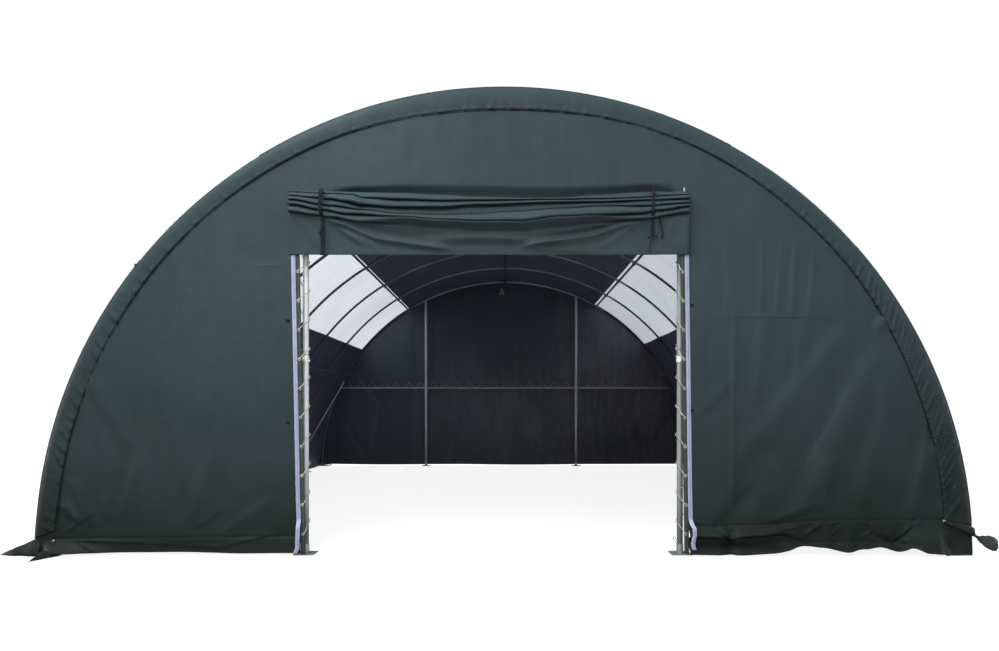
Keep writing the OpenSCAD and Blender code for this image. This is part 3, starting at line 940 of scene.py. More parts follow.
# One turn of the door lacing: sideways from the post towards the doorway, along Y from the
# post, and above the grommet that the turn starts at
DOOR_TURN = [
    (-0.021, -0.121, 0), (-0.014, -0.134, 0.008), (0.006, -0.132, 0.030), (0.026, -0.062, 0.084),
    (0.040, -0.012, 0.104), (0.030, 0.030, 0.124), (0.0, 0.043, 0.142), (-0.031, 0.030, 0.166),
    (-0.042, -0.014, 0.190), (-0.026, -0.102, 0.262)]
FIRST_GROMMET = low("front_lacing").z + 0.005
GROMMETS = 12
LACE_PITCH = 0.284
# One step of the zigzag along the back girt: along X, Y and Z from the girt
BACK_TURN = [
    (0, 0.048, 0.120), (0.020, 0.044, 0.112), (0.118, -0.026, 0.020), (0.134, -0.029, -0.004),
    (0.148, -0.012, -0.028), (0.162, 0.016, -0.027), (0.176, 0.030, 0.002), (0.280, 0.044, 0.112)]
ZIGZAG = 0.3
LACE_R = 0.005


def lean(side, z):
    """Sideways lean of the zips and lacing strips, whose tops stand a little to the left."""
    return 0.028 - 0.0198 * z if side < 0 else 0.019 - 0.0137 * z


def beside_door(side, out, z):
    """Sideways place at a distance out from the middle of a door post, along its leaning edge."""
    return DOOR_X + side * (POST_GAP / 2 + out) + lean(side, z)


def dress_lacing():
    for side, name, post, nodes in ((-1, "door_lacing_left", POST_X[0], ["front_lacing"]),
                                    (1, "door_lacing_right", POST_X[1], [])):
        points = []
        for k in range(GROMMETS - 1):
            for across, deep, up in DOOR_TURN:
                z = FIRST_GROMMET + k * LACE_PITCH + up
                at_strip = ease((-deep - 0.05) / 0.08)
                points.append(Vector((post - side * across + lean(side, z) * at_strip, POST_Y + deep, z)))
        rope = round_cord(name, smooth_route(points, 10), LACE_R, ROPE_CREAM, strands=3)
        ride_root(rope, "rope", *nodes)
    reach = math.sqrt(ARCH_R ** 2 - (GIRT_Z + 0.12) ** 2)
    steps = math.floor(2 * reach / ZIGZAG) - 1
    start = -steps * ZIGZAG / 2
    points = [Vector((start + k * ZIGZAG + x, GIRT_Y + y, GIRT_Z + z))
              for k in range(steps) for x, y, z in BACK_TURN]
    rope = round_cord("back_lacing_rope", smooth_route(points, 6), LACE_R, ROPE_SHADED, strands=3)
    ride_root(rope, "rope", "back_lacing")


# ---------------------------------------------------------------- front sheet

# The doorway is cut straight where its edges are at this height, and then they are leaned
CUT_Z = 1.8
LEAN_REACH = 0.4
SHEET_EDGE = 0.043
# Folds of the front sheet: start and end in X and Z, half width, and how far it stands out
FRONT_FOLDS = [
    ((3.60, 1.90), (2.86, 0.40), 0.130, 0.023), ((3.78, 1.80), (3.46, 0.42), 0.120, 0.017),
    ((4.14, 1.15), (3.98, 0.42), 0.080, 0.020), ((3.30, 2.20), (2.45, 1.10), 0.110, 0.014),
    ((3.72, 2.32), (3.62, 2.22), 0.050, 0.020), ((3.34, 1.55), (2.95, 0.85), 0.030, 0.007),
    ((4.16, 1.30), (4.14, 1.05), 0.040, -0.016), ((2.52, 1.10), (2.26, 0.45), 0.140, -0.022),
    ((2.17, 3.00), (2.19, 2.35), 0.045, 0.010), ((2.51, 3.00), (2.50, 2.35), 0.035, 0.010),
    ((2.69, 2.98), (2.66, 2.38), 0.025, 0.007), ((2.83, 3.00), (2.80, 2.36), 0.030, 0.010),
    ((3.02, 2.95), (2.97, 2.40), 0.030, 0.007), ((2.24, 2.28), (2.22, 0.50), 0.030, 0.012),
    ((1.95, 2.315), (3.15, 2.335), 0.020, 0.006), ((-2.20, 2.83), (-2.42, 2.83), 0.014, 0.004),
    ((2.52, 2.28), (2.46, 1.60), 0.060, 0.010), ((2.90, 2.28), (2.86, 1.75), 0.060, 0.010),
    ((1.90, 1.40), (2.25, 1.72), 0.060, 0.009), ((2.05, 0.38), (2.40, 0.75), 0.080, 0.013),
    ((3.10, 0.42), (3.20, 0.95), 0.060, 0.014), ((2.60, 0.35), (3.05, 0.50), 0.050, 0.014),
    ((-4.29, 0.50), (-4.15, 0.34), 0.050, 0.034), ((-4.26, 0.24), (-3.98, 0.42), 0.016, 0.014),
    ((-3.88, 0.60), (-3.87, 0.36), 0.060, 0.020), ((-2.98, 0.28), (-2.72, 0.48), 0.034, 0.009),
    ((-4.24, 0.80), (-4.20, 0.72), 0.024, -0.010), ((-4.10, 1.40), (-4.07, 0.55), 0.050, 0.014),
    ((-2.30, 2.05), (-2.35, 0.75), 0.055, 0.010), ((-2.75, 1.25), (-3.05, 0.35), 0.090, 0.018),
    ((-3.20, 1.30), (-3.02, 0.42), 0.080, 0.012), ((-3.55, 0.95), (-3.70, 0.42), 0.070, 0.020),
    ((-3.92, 1.15), (-3.74, 0.45), 0.070, 0.016), ((-4.05, 1.70), (-3.62, 1.05), 0.075, 0.014),
    ((-2.25, 0.55), (-2.75, 0.22), 0.060, 0.014), ((-4.20, 0.75), (-4.02, 0.30), 0.060, 0.022),
    ((-2.15, 2.80), (-2.18, 2.10), 0.050, 0.006), ((-3.15, 2.80), (-3.10, 2.15), 0.070, 0.006),
    ((-1.00, 4.20), (-1.05, 3.80), 0.080, 0.006), ((0.60, 4.22), (0.62, 3.80), 0.090, 0.008)]
# Height of the front sheet's lower hem along X, and of the seam above its skirt
FRONT_HEM = [(-4.55, 0.030), (-4.0, 0.030), (-3.2, 0.032), (-2.6, 0.022), (-2.05, 0.030),
             (1.85, 0.020), (2.30, 0.012), (2.60, 0.028), (2.95, 0.092), (3.10, 0.082), (3.32, 0.045),
             (3.50, 0.068), (3.66, 0.085), (3.84, 0.045), (3.96, 0.082), (4.10, 0.036), (4.22, 0.030),
             (4.30, 0.010), (4.55, 0.008)]
FRONT_SEAM = [(-4.55, 0.165), (-3.2, 0.176), (-2.0, 0.192), (1.85, 0.285), (2.5, 0.30), (3.1, 0.345),
              (4.55, 0.350)]
# The skirt below that seam along X: how far it steps out just under the seam, how far it
# tucks back in below that ledge, how far the ledge lies under the seam, and how its hem flares
SKIRT_STEP = [(-4.55, 0.060), (-4.25, 0.050), (-4.05, 0.006), (-3.7, -0.016), (-3.0, -0.022),
              (-2.5, -0.004), (-2.0, 0.020), (1.85, 0.070), (2.08, 0.070), (2.16, 0.034), (2.21, 0.010),
              (2.28, 0.050), (2.50, 0.056), (2.76, 0.030),
              (2.90, -0.020), (3.00, -0.030), (3.14, -0.010), (3.22, -0.035), (3.34, -0.015), (3.45, -0.045),
              (3.60, -0.020), (3.74, -0.030), (3.84, -0.040), (3.93, 0.030), (4.06, 0.085), (4.20, 0.085),
              (4.27, 0.040), (4.36, -0.030), (4.50, -0.040)]
SKIRT_TUCK = [(-4.0, 0.0), (-3.0, 0.010), (-2.2, 0.0), (1.85, 0.090), (2.60, 0.090), (2.88, 0.020),
              (3.00, 0.0), (4.34, 0.0)]
SKIRT_LEDGE = [(-4.5, 0.08), (1.85, 0.088), (2.16, 0.10), (2.22, 0.135), (2.30, 0.10), (2.70, 0.085),
               (2.92, 0.16), (3.30, 0.22), (3.84, 0.23), (4.0, 0.22), (4.5, 0.25)]
SKIRT_HEM = [(-4.5, 0.06), (-4.1, 0.045), (-3.7, 0.004), (-2.0, 0.006), (1.85, 0.090), (2.60, 0.090),
             (2.90, 0.070), (3.10, 0.100), (3.45, 0.110), (3.70, 0.095), (3.84, 0.080), (3.95, 0.060),
             (4.10, 0.020), (4.34, 0.050)]
# Small creases of the skirt, written like the folds above
SKIRT_CREASES = [
    ((2.10, 0.280), (2.21, 0.160), 0.016, 0.020), ((2.21, 0.160), (2.42, 0.215), 0.016, 0.016),
    ((2.17, 0.275), (2.22, 0.220), 0.020, -0.012), ((2.60, 0.235), (2.85, 0.285), 0.018, 0.014),
    ((2.94, 0.195), (3.08, 0.310), 0.020, 0.024), ((3.16, 0.305), (3.31, 0.345), 0.016, 0.012),
    ((3.31, 0.350), (3.375, 0.105), 0.012, 0.012), ((3.31, 0.345), (3.20, 0.210), 0.014, 0.012),
    ((3.22, 0.175), (3.17, 0.110), 0.012, 0.010), ((3.48, 0.340), (3.60, 0.265), 0.014, 0.012),
    ((3.60, 0.265), (3.50, 0.185), 0.016, 0.010), ((3.58, 0.215), (3.79, 0.115), 0.022, -0.022),
    ((3.97, 0.270), (3.82, 0.115), 0.022, -0.024), ((3.83, 0.105), (3.92, 0.150), 0.014, 0.014),
    ((4.06, 0.350), (3.99, 0.300), 0.020, 0.014), ((4.24, 0.100), (4.30, 0.150), 0.016, 0.016),
    ((-4.20, 0.150), (-3.30, 0.120), 0.014, 0.014), ((-3.30, 0.120), (-2.70, 0.075), 0.016, 0.010),
    ((-2.74, 0.100), (-2.30, 0.205), 0.020, 0.012), ((-4.12, 0.120), (-3.98, 0.045), 0.014, 0.014)]


def front_sheet_y(x, z):
    """Where the front sheet hangs along Y, with its folds and its skirt that flares out."""
    out = sum(fold(x, z, *crease) for crease in FRONT_FOLDS)
    out += 0.009 * ripple(x * 0.9, z * 0.6, 3.0) + 0.003 * ripple(x * 4.0, z * 1.2, 7.0)
    seam = along_points(FRONT_SEAM, x)
    if z < seam + 0.15:
        ledge = seam - along_points(SKIRT_LEDGE, x)
        out += along_points(SKIRT_STEP, x) * ease((seam - z) / (seam - ledge))
        out -= along_points(SKIRT_TUCK, x) * ease((ledge - z) / 0.035)
        out += along_points(SKIRT_HEM, x) * ease((0.125 - z) / 0.10)
        out += sum(fold(x, z, *crease) for crease in SKIRT_CREASES)
        out += 0.006 * ease((seam - z) / 0.1) * ripple(x * 6.0, z * 8.0, 2.0)
        out -= 0.008 * math.exp(-(((z - seam) / 0.014) ** 2))
    if z > HEAD_LOW - 0.04:
        out -= recess(x, z)
    calm = ease((SHEET_R - math.hypot(x, z) - 0.02) / 0.20)
    return -(SHEET_Y + 0.001 + out * calm)


def end_sheet(columns, rows, across, up):
    """A flat end sheet trimmed to the half round, as a grid that is finer where it is creased."""
    mesh = bmesh.new()
    bmesh.ops.create_grid(mesh, x_segments=columns, y_segments=rows, size=0.5)
    for vert in mesh.verts:
        x = SHEET_R * stretched(vert.co.x + 0.5, across)
        z = SHEET_R * stretched(vert.co.y + 0.5, up)
        vert.co = Vector((x, 0, z))
    gone = [f for f in mesh.faces if all(math.hypot(v.co.x, v.co.z) > SHEET_R for v in f.verts)]
    bmesh.ops.delete(mesh, geom=gone, context="FACES")
    for vert in mesh.verts:
        far = math.hypot(vert.co.x, vert.co.z)
        if far > SHEET_R:
            vert.co *= SHEET_R / far
    return mesh


def cut_doorway(mesh):
    """Cuts the doorway out of the front sheet, and leans the edges beside it."""
    left, right = [beside_door(side, SHEET_EDGE, CUT_Z) for side in (-1, 1)]
    for place, normal in (((left, 0, 0), (1, 0, 0)), ((right, 0, 0), (1, 0, 0)),
                          ((0, 0, HEAD_LOW), (0, 0, 1))):
        geometry = mesh.verts[:] + mesh.edges[:] + mesh.faces[:]
        bmesh.ops.bisect_plane(mesh, geom=geometry, plane_co=place, plane_no=normal)
    gone = []
    for face in mesh.faces:
        centre = face.calc_center_median()
        if left < centre.x < right and centre.z < HEAD_LOW:
            gone.append(face)
    bmesh.ops.delete(mesh, geom=gone, context="FACES")
    for vert in mesh.verts:
        for side, edge in ((-1, left), (1, right)):
            near = abs(vert.co.x - edge)
            if near < LEAN_REACH and vert.co.z < HEAD_LOW + 0.01:
                shift = beside_door(side, SHEET_EDGE, vert.co.z) - edge
                vert.co.x += shift * ease(1 - near / LEAN_REACH)


def settle_end_sheet(mesh, surface_y, hem_line):
    """Maps a flat end sheet, and moves each point to its place, its lowest part to the hem line."""
    map_cloth(mesh, lambda at: (at.x, at.z))
    for vert in mesh.verts:
        x, z = vert.co.x, vert.co.z
        z += along_points(hem_line, x) * (1 - ease(z / 0.5))
        vert.co = Vector((x, surface_y(x, z), z))


def dress_front_sheet():
    mesh = end_sheet(360, 176, [(0, -1), (0.36, -0.42), (0.50, 0.38), (1, 1)],
                     [(0, 0), (0.24, 0.085), (0.44, 0.27), (0.76, 0.755), (0.86, 0.81), (1, 1)])
    cut_doorway(mesh)
    settle_end_sheet(mesh, front_sheet_y, FRONT_HEM)
    piece = sewn("front_sheet", mesh, frontwards, (GREEN_OUT, GREEN_IN))
    ride_root(piece, "end_fabric", "front_panel_left", "front_panel_right", "front_panel_head")
    welds = [("weld_front_left_low", -4.05, -2.07, 2.10), ("weld_front_left_high", -3.60, -2.09, 2.83),
             ("weld_front_right_low", 1.84, 3.80, 2.31), ("weld_front_right_high", 1.84, 3.42, 3.00)]
    for name, start, end, z in welds:
        def place(u, v, start=start, end=end, z=z):
            x, height = between(u, start, end), z + between(v, -0.015, 0.015)
            return Vector((x, front_sheet_y(x, height) - 0.0008, height))

        strip = cloth(name, 90, 2, (end - start, 0.030), place, frontwards, GREEN_OUT, thick=0)
        ride_root(strip, "end_fabric")


# ---------------------------------------------------------------- back sheet

# Folds of the back sheet: hanging ones under the arch and over the girt, and drags at its corners
BACK_FOLDS = [
    ((-2.75, 3.20), (-2.62, 2.15), 0.06, 0.016), ((-2.30, 3.45), (-2.22, 2.20), 0.05, 0.014),
    ((-1.75, 3.60), (-1.78, 2.30), 0.06, 0.016), ((-1.30, 3.50), (-1.22, 2.15), 0.04, 0.012),
    ((-0.55, 3.70), (-0.60, 2.30), 0.05, 0.014), ((0.20, 3.60), (0.16, 2.20), 0.06, 0.014),
    ((0.75, 3.50), (0.86, 2.20), 0.04, 0.012), ((1.45, 3.50), (1.40, 2.30), 0.06, 0.016),
    ((2.10, 3.30), (2.18, 2.20), 0.05, 0.014), ((2.60, 3.10), (2.55, 2.25), 0.05, 0.014),
    ((-3.10, 1.70), (-3.30, 0.40), 0.08, 0.020), ((-2.20, 1.80), (-2.05, 0.35), 0.07, 0.018),
    ((-1.35, 1.75), (-1.50, 0.40), 0.06, 0.018), ((-0.35, 1.80), (-0.20, 0.30), 0.08, 0.022),
    ((0.45, 1.80), (0.30, 0.45), 0.06, 0.018), ((1.55, 1.75), (1.75, 0.35), 0.07, 0.020),
    ((2.35, 1.80), (2.25, 0.40), 0.06, 0.018), ((3.20, 1.75), (3.35, 0.45), 0.08, 0.020),
    ((-4.10, 1.20), (-3.45, 0.25), 0.08, 0.022), ((4.10, 1.20), (3.50, 0.25), 0.08, 0.022),
    ((-3.60, 2.20), (-2.90, 1.30), 0.08, 0.016), ((3.60, 2.20), (2.95, 1.30), 0.08, 0.016)]
BACK_HEM = [(-4.55, 0.035), (-3.0, 0.02), (-1.2, 0.03), (0.4, 0.015), (2.2, 0.03), (4.55, 0.035)]
BACK_SEAMS = (-2.9, -0.95, 1.0, 2.95)


def back_sheet_y(x, z):
    """Where the back sheet hangs along Y, gathered a little at its lacing."""
    out = 0.010 * ripple(x * 0.7, z * 0.35, 11.0) + 0.006 * ripple(x * 2.2, z * 0.4, 13.0)
    laced = math.exp(-(((z - GIRT_Z - 0.12) / 0.10) ** 2))
    out -= 0.010 * laced * abs(math.cos(math.pi * x / ZIGZAG))
    for seam in BACK_SEAMS:
        out += 0.006 * math.exp(-(((x - seam) / 0.03) ** 2))
    out += sum(fold(x, z, *crease) for crease in BACK_FOLDS)
    out += 0.030 * ease((0.3 - z) / 0.3) * (1 + 0.5 * ripple(x * 2.0, 4.0))
    calm = ease((SHEET_R - math.hypot(x, z) - 0.02) / 0.25)
    return SHEET_Y + 0.001 + out * calm


def dress_back_sheet():
    mesh = end_sheet(224, 84, [(0, -1), (1, 1)], [(0, 0), (0.3, 0.2), (1, 1)])
    settle_end_sheet(mesh, back_sheet_y, BACK_HEM)
    piece = sewn("back_sheet", mesh, backwards, (GREEN_OUT, GREEN_BACK))
    ride_root(piece, "end_fabric", "back_panel")


# ---------------------------------------------------------------- rolled door

DOOR_LONG = 3.6
ROLL_COLUMNS = 150
ROLL_ROWS = 308
LAYERS = 5
LAYER_DEEP = 0.038
STRAP_X = [DOOR_X - 1.655, DOOR_X + 1.545]
# Crease lines between the layers of the rolled door, from its top edge down, along X
ROLL_LINES = [
    [(-2.06, 3.552), (-1.68, 3.543), (-1.00, 3.528), (-0.62, 3.510), (-0.23, 3.490), (0.16, 3.481),
     (0.54, 3.481), (0.93, 3.510), (1.31, 3.534), (1.51, 3.543), (1.80, 3.534)],
    [(-2.06, 3.536), (-1.68, 3.522), (-1.48, 3.510), (-1.37, 3.478), (-1.00, 3.460), (-0.62, 3.447),
     (-0.23, 3.452), (0.54, 3.462), (0.93, 3.466), (1.31, 3.476), (1.51, 3.495), (1.80, 3.510)],
    [(-2.06, 3.498), (-1.86, 3.480), (-1.68, 3.462), (-1.53, 3.438), (-1.37, 3.405), (-1.00, 3.383),
     (-0.62, 3.383), (-0.23, 3.408), (0.54, 3.432), (0.93, 3.437), (1.51, 3.456), (1.80, 3.466)],
    [(-2.06, 3.456), (-1.77, 3.412), (-1.68, 3.398), (-1.37, 3.360), (-1.00, 3.322), (-0.62, 3.314),
     (-0.30, 3.320), (0.10, 3.346), (0.54, 3.375), (0.93, 3.398), (1.31, 3.396), (1.80, 3.422)],
    [(-2.06, 3.408), (-1.77, 3.360), (-1.53, 3.318), (-1.00, 3.288), (-0.62, 3.258), (-0.23, 3.243),
     (0.16, 3.243), (0.54, 3.287), (0.93, 3.302), (1.31, 3.320), (1.51, 3.353), (1.80, 3.390)],
    [(-2.06, 3.340), (-1.86, 3.312), (-1.68, 3.288), (-1.37, 3.238), (-1.00, 3.210), (-0.62, 3.182),
     (-0.23, 3.158), (0.16, 3.154), (0.54, 3.190), (0.93, 3.230), (1.31, 3.268), (1.80, 3.332)]]
# How far each layer stands out along X
ROLL_DEPTHS = [
    [(-2.06, 0.40), (-1.39, 0.55), (-1.00, 0.80), (-0.20, 0.75), (0.50, 0.60), (1.30, 0.60), (1.80, 0.45)],
    [(-2.06, 0.60), (-1.60, 0.95), (-1.42, 1.20), (-1.30, 0.80), (-0.50, 0.75), (0.90, 0.70), (1.80, 0.85)],
    [(-2.06, 0.90), (-1.60, 0.85), (-1.25, 0.42), (-0.90, 0.32), (0.10, 0.34), (0.60, 0.42), (1.10, 0.62),
     (1.40, 0.80), (1.80, 0.80)],
    [(-2.06, 0.95), (-1.40, 1.00), (-0.50, 1.15), (0.20, 1.25), (1.00, 1.20), (1.40, 1.00), (1.80, 0.95)],
    [(-2.06, 0.90), (-1.40, 0.85), (-0.80, 1.15), (0.00, 1.25), (0.70, 1.15), (1.20, 0.90), (1.80, 0.90)]]
# Outline of one folded layer: forwards, and up from its middle, in half layers
LAYER_PATH = [
    (0.10, 1.00), (0.70, 0.92), (1.30, 0.55), (1.75, 0.05), (2.00, -0.50), (1.95, -0.85), (1.60, -1.02),
    (0.90, -1.00), (0.20, -0.90), (1.00, -0.78), (1.70, -0.62), (0.90, -0.52), (0.12, -0.42),
    (0.90, -0.32), (1.62, -0.20), (1.50, 0.05), (1.00, 0.32), (0.35, 0.62), (0.12, 0.42), (0.70, 0.14),
    (1.10, -0.02), (0.60, -0.12), (0.10, -0.20), (0.05, -0.80)]
# The lowest layer: its tucks come first, then its face, at the roll's ends and in the middle,
# where the face turns down and runs on into the hanging part
LAST_TUCKS = [
    (0.10, 1.00), (0.12, 0.84), (0.85, 0.66), (0.12, 0.50), (0.90, 0.36), (0.12, 0.20), (0.82, 0.08),
    (0.12, -0.06), (0.70, -0.18), (0.12, -0.30), (0.50, -0.40), (0.06, -0.30), (0.05, 0.30), (0.05, 0.94)]
LAST_FACE = [
    (0.60, 0.97), (1.10, 0.80), (1.50, 0.42), (1.80, -0.05), (2.00, -0.50), (1.95, -0.85), (1.60, -1.02),
    (1.15, -1.04), (0.80, -1.02), (0.50, -1.02)]
UNDER_FACE = [
    (0.80, 0.99), (1.40, 0.97), (1.76, 0.90), (1.84, 0.72), (1.66, 0.42), (1.36, 0.08), (1.04, -0.26),
    (0.74, -0.58), (0.52, -0.84), (0.40, -1.06)]
# Height along X at which the sheet above the roll starts to draw inwards
RECESS_TOP = [(-1.75, 3.550), (-1.40, 3.585), (-1.00, 3.600), (-0.20, 3.595), (0.50, 3.580), (1.00, 3.590),
              (1.35, 3.612), (1.50, 3.615), (1.62, 3.580), (1.68, 3.545)]


def recess(x, z):
    """How far inwards the cloth above the roll is drawn, under a soft edge."""
    top, roll = along_points(RECESS_TOP, x), along_points(ROLL_LINES[0], x)
    if top - roll < 0.012:
        return 0.0
    share = ease((top + 0.015 - z) / (top + 0.015 - roll)) ** 0.8
    return 0.056 * share * ease((top - roll) / 0.04)


def roll_profile(x):
    """Points of the folded door sheet across the roll at x, as Y and Z, from its top down."""
    lines = [along_points(line, x) + 0.0015 * ripple(x * 5.0, k * 2.0)
             for k, line in enumerate(ROLL_LINES)]
    pinch = max(math.exp(-(((x - at) / 0.07) ** 2)) for at in STRAP_X)
    under = ease((x + 1.45) / 0.5) * ease((1.30 - x) / 0.4)
    last_face = [(between(under, a[0], b[0]), between(under, a[1], b[1]))
                 for a, b in zip(LAST_FACE, UNDER_FACE)]
    back = ROLL_BACK + 0.004
    points = [(SHEET_Y - 0.006 - recess(x, z), z) for z in (3.61, 3.585, lines[0] + 0.012)]
    for k in range(LAYERS):
        centre, r = (lines[k] + lines[k + 1]) / 2, (lines[k] - lines[k + 1]) / 2
        deep = along_points(ROLL_DEPTHS[k], x) * (1 - 0.25 * pinch) + 0.10 * ripple(x * 2.3, k * 7.0, 4.0)
        for forward, up in (LAYER_PATH if k < LAYERS - 1 else LAST_TUCKS + last_face):
            points.append((back + forward * deep * LAYER_DEEP, centre + up * r))
    front = back + between(under, 0.026, 0.40 * deep * LAYER_DEEP - 0.001)
    tilt = between(ease((1.82 - abs(x - DOOR_X)) / 0.4), 0.018, 0.030)
    hanging = [(front - tilt * (1 - (1 - t) ** 2), between(t, lines[-1] - 0.006, VALANCE_LOW + 0.006))
               for t in [k / 12 for k in range(13)]]
    turned_up = [(y - 0.008, z) for y, z in hanging[-2:4:-1]]
    hem = [(front - tilt - 0.004, VALANCE_LOW), (front - tilt - 0.008, VALANCE_LOW + 0.006)]
    return points + hanging + hem + turned_up


# Folds of the hanging part, which run from its two straps to its lower edge
VALANCE_FOLDS = [
    ((-1.68, 3.262), (-1.22, 3.085), 0.028, 0.030), ((-1.22, 3.085), (-0.55, 2.985), 0.036, 0.030),
    ((-1.66, 3.230), (-1.36, 3.020), 0.030, 0.016), ((-1.30, 3.05), (-1.22, 2.94), 0.030, 0.012),
    ((1.30, 3.262), (0.86, 3.120), 0.026, 0.034), ((0.86, 3.120), (0.20, 3.010), 0.034, 0.032),
    ((1.33, 3.250), (0.95, 3.010), 0.030, 0.010), ((-0.60, 3.085), (0.60, 3.075), 0.050, 0.018),
    ((0.30, 2.985), (0.85, 2.960), 0.030, 0.012), ((-1.95, 3.25), (-1.80, 3.00), 0.040, 0.008),
    ((1.66, 3.28), (1.50, 2.98), 0.040, 0.008), ((-1.52, 3.20), (-0.80, 3.055), 0.052, -0.022),
    ((1.12, 3.215), (0.50, 3.085), 0.048, -0.018), ((-0.85, 3.13), (0.45, 3.11), 0.045, -0.008)]
# The loose ends and bows of the straps: name, width, and where they run in X and Z
STRAP_ENDS = [
    ("strap_tail_right", 0.020, [(1.508, 3.285), (1.520, 3.20), (1.535, 3.13), (1.522, 3.075)]),
    ("strap_cord_right", 0.008, [(1.445, 3.09), (1.420, 3.05), (1.408, 2.99), (1.412, 2.925)]),
    ("strap_bow_right", 0.016, [(1.395, 3.085), (1.430, 3.105), (1.460, 3.110), (1.480, 3.085)]),
    ("strap_bow_left", 0.018, [(-1.795, 3.125), (-1.770, 3.150), (-1.745, 3.130), (-1.752, 3.095)]),
    ("strap_tuck_left", 0.014, [(-1.785, 3.475), (-1.752, 3.492), (-1.738, 3.470), (-1.745, 3.43)])]


def dress_door():
    first_hanging = (3 + LAYERS * len(LAYER_PATH)) / (len(roll_profile(0)) - 1)
    profiles = {}

    def place(u, v):
        x = DOOR_X - 0.034 + between(u, -ROLL_HALF, ROLL_HALF) * 1.006
        column = round(u * ROLL_COLUMNS)
        if column not in profiles:
            profiles[column] = smooth_route([Vector((0, -y, z)) for y, z in roll_profile(x)], 3)
        point = point_along(profiles[column], v)
        point.x = x
        if v > first_hanging:
            out = sum(fold(x, point.z, *crease) for crease in VALANCE_FOLDS)
            out += 0.005 * ripple(x * 1.5, point.z * 3.0, 6.0) + 0.02 * ease((x - 1.5) / 0.3)
            out *= between(ease((point.z - VALANCE_LOW) / 0.10), 0.4, 1.0)
            point.y -= out * ease((v - first_hanging) / 0.01)
        return point

    flat = (2 * ROLL_HALF, DOOR_LONG)
    piece = cloth("door_sheet_rolled", ROLL_COLUMNS, ROLL_ROWS, flat, place, frontwards, GREEN_OUT, GREEN_IN,
                  thick=0.0018)
    ride_root(piece, "end_fabric", "door_roll", "door_valance")


def ribbon(name, points, across, width, material, thick=0.003):
    """A flat strap along a line of points; across gives its direction across at each of them."""
    def place(u, v):
        return point_along(points, v) + point_along(across, v).normalized() * (u - 0.5) * width

    length = sum((b - a).length for a, b in zip(points, points[1:]))
    return cloth(name, 4, len(points) - 1, (width, length), place, frontwards, material, thick=thick)


def dress_straps():
    """The two straps round the roll, each with its knot and its hanging tail."""
    front = ROLL_FRONT + 0.006
    face = ROLL_BACK + 0.022
    for name, at, width, tail, nodes in (
            ("door_strap_left", STRAP_X[0], 0.036, VALANCE_LOW - 0.01, ["door_straps"]),
            ("door_strap_right", STRAP_X[1], 0.026, 3.10, [])):
        route = [(0, -face, 3.56), (0.004, -front + 0.03, 3.555), (0.003, -front + 0.008, 3.50),
                 (-0.003, -front + 0.004, 3.40), (0, -front + 0.012, 3.33), (0.006, -face - 0.020, 3.29),
                 (0.008, -face - 0.012, 3.22), (0.004, -face - 0.018, 3.12),
                 (0.008, -face - 0.012, between(0.5, 3.12, tail)), (0.002, -face - 0.010, tail)]
        points = smooth_route([Vector((at + x, y, z)) for x, y, z in route], 5)
        strap = ribbon(name, points, [Vector((1, 0, 0))] * len(points), width, STRAP_BLACK)
        ride_root(strap, "strap_webbing", *nodes)
    for name, width, places in STRAP_ENDS:
        stand = ROLL_FRONT if places[0][1] > 3.4 else face + 0.022
        points = smooth_route([Vector((x, -stand - 0.004 * k, z)) for k, (x, z) in enumerate(places)], 5)
        across = [Vector((b.z - a.z, 0, a.x - b.x)).normalized() for a, b in zip(points, points[1:])]
        ride_root(ribbon(name, points, across + across[-1:], width, STRAP_BLACK), "strap_webbing")


# ---------------------------------------------------------------- door edges

# Height of the zips' lower ends, and how far they wander sideways near the ground
ZIP_ENDS = {-1: 0.028, 1: 0.070}
ZIP_BENDS = {-1: [(0.028, -0.030), (0.05, -0.016), (0.09, -0.004), (0.30, 0.004), (0.60, 0.0)],
             1: [(0.070, 0.016), (0.10, 0.006), (0.135, 0.002), (0.17, 0.010), (0.215, 0.022),
                 (0.27, 0.020), (0.32, 0.006), (0.36, 0.002), (0.60, 0.0)]}
ZIP_FLARE = {-1: 0.045, 1: 0.086}
ZIP_TOP = VALANCE_LOW + 0.2
STRIP_LOW = 0.02
STRIP_TOP = DOOR_TOP - 0.01


def lacing_strip(name, side, inner, outer, stand, material, *nodes):
    """An upright strip beside the doorway, between two distances out from its post."""
    def place(u, v):
        z = between(v, STRIP_LOW, STRIP_TOP)
        return Vector((beside_door(side, between(u, inner, outer), z), -(SHEET_Y + stand), z))

    strip = cloth(name, 6, 110, (outer - inner, STRIP_TOP - STRIP_LOW), place, frontwards, material,
                  thick=0.002)
    ride_root(strip, "lacing_strip", *nodes)


def zip_strip(name, side, inner, outer, stand, material, *nodes):
    """A strip of the zip beside the doorway, which bends and flares out near the ground."""
    def place(u, v):
        z = between(v, ZIP_ENDS[side], ZIP_TOP)
        x = beside_door(side, between(u, inner, outer), z) + along_points(ZIP_BENDS[side], z)
        out = ZIP_FLARE[side] * ease((0.36 - z) / 0.10)
        return Vector((x, -SHEET_Y - out - stand, z))

    strip = cloth(name, 4, 260, (outer - inner, ZIP_TOP - ZIP_ENDS[side]), place, frontwards, material,
                  thick=0.002)
    ride_root(strip, "zip_tape", *nodes)


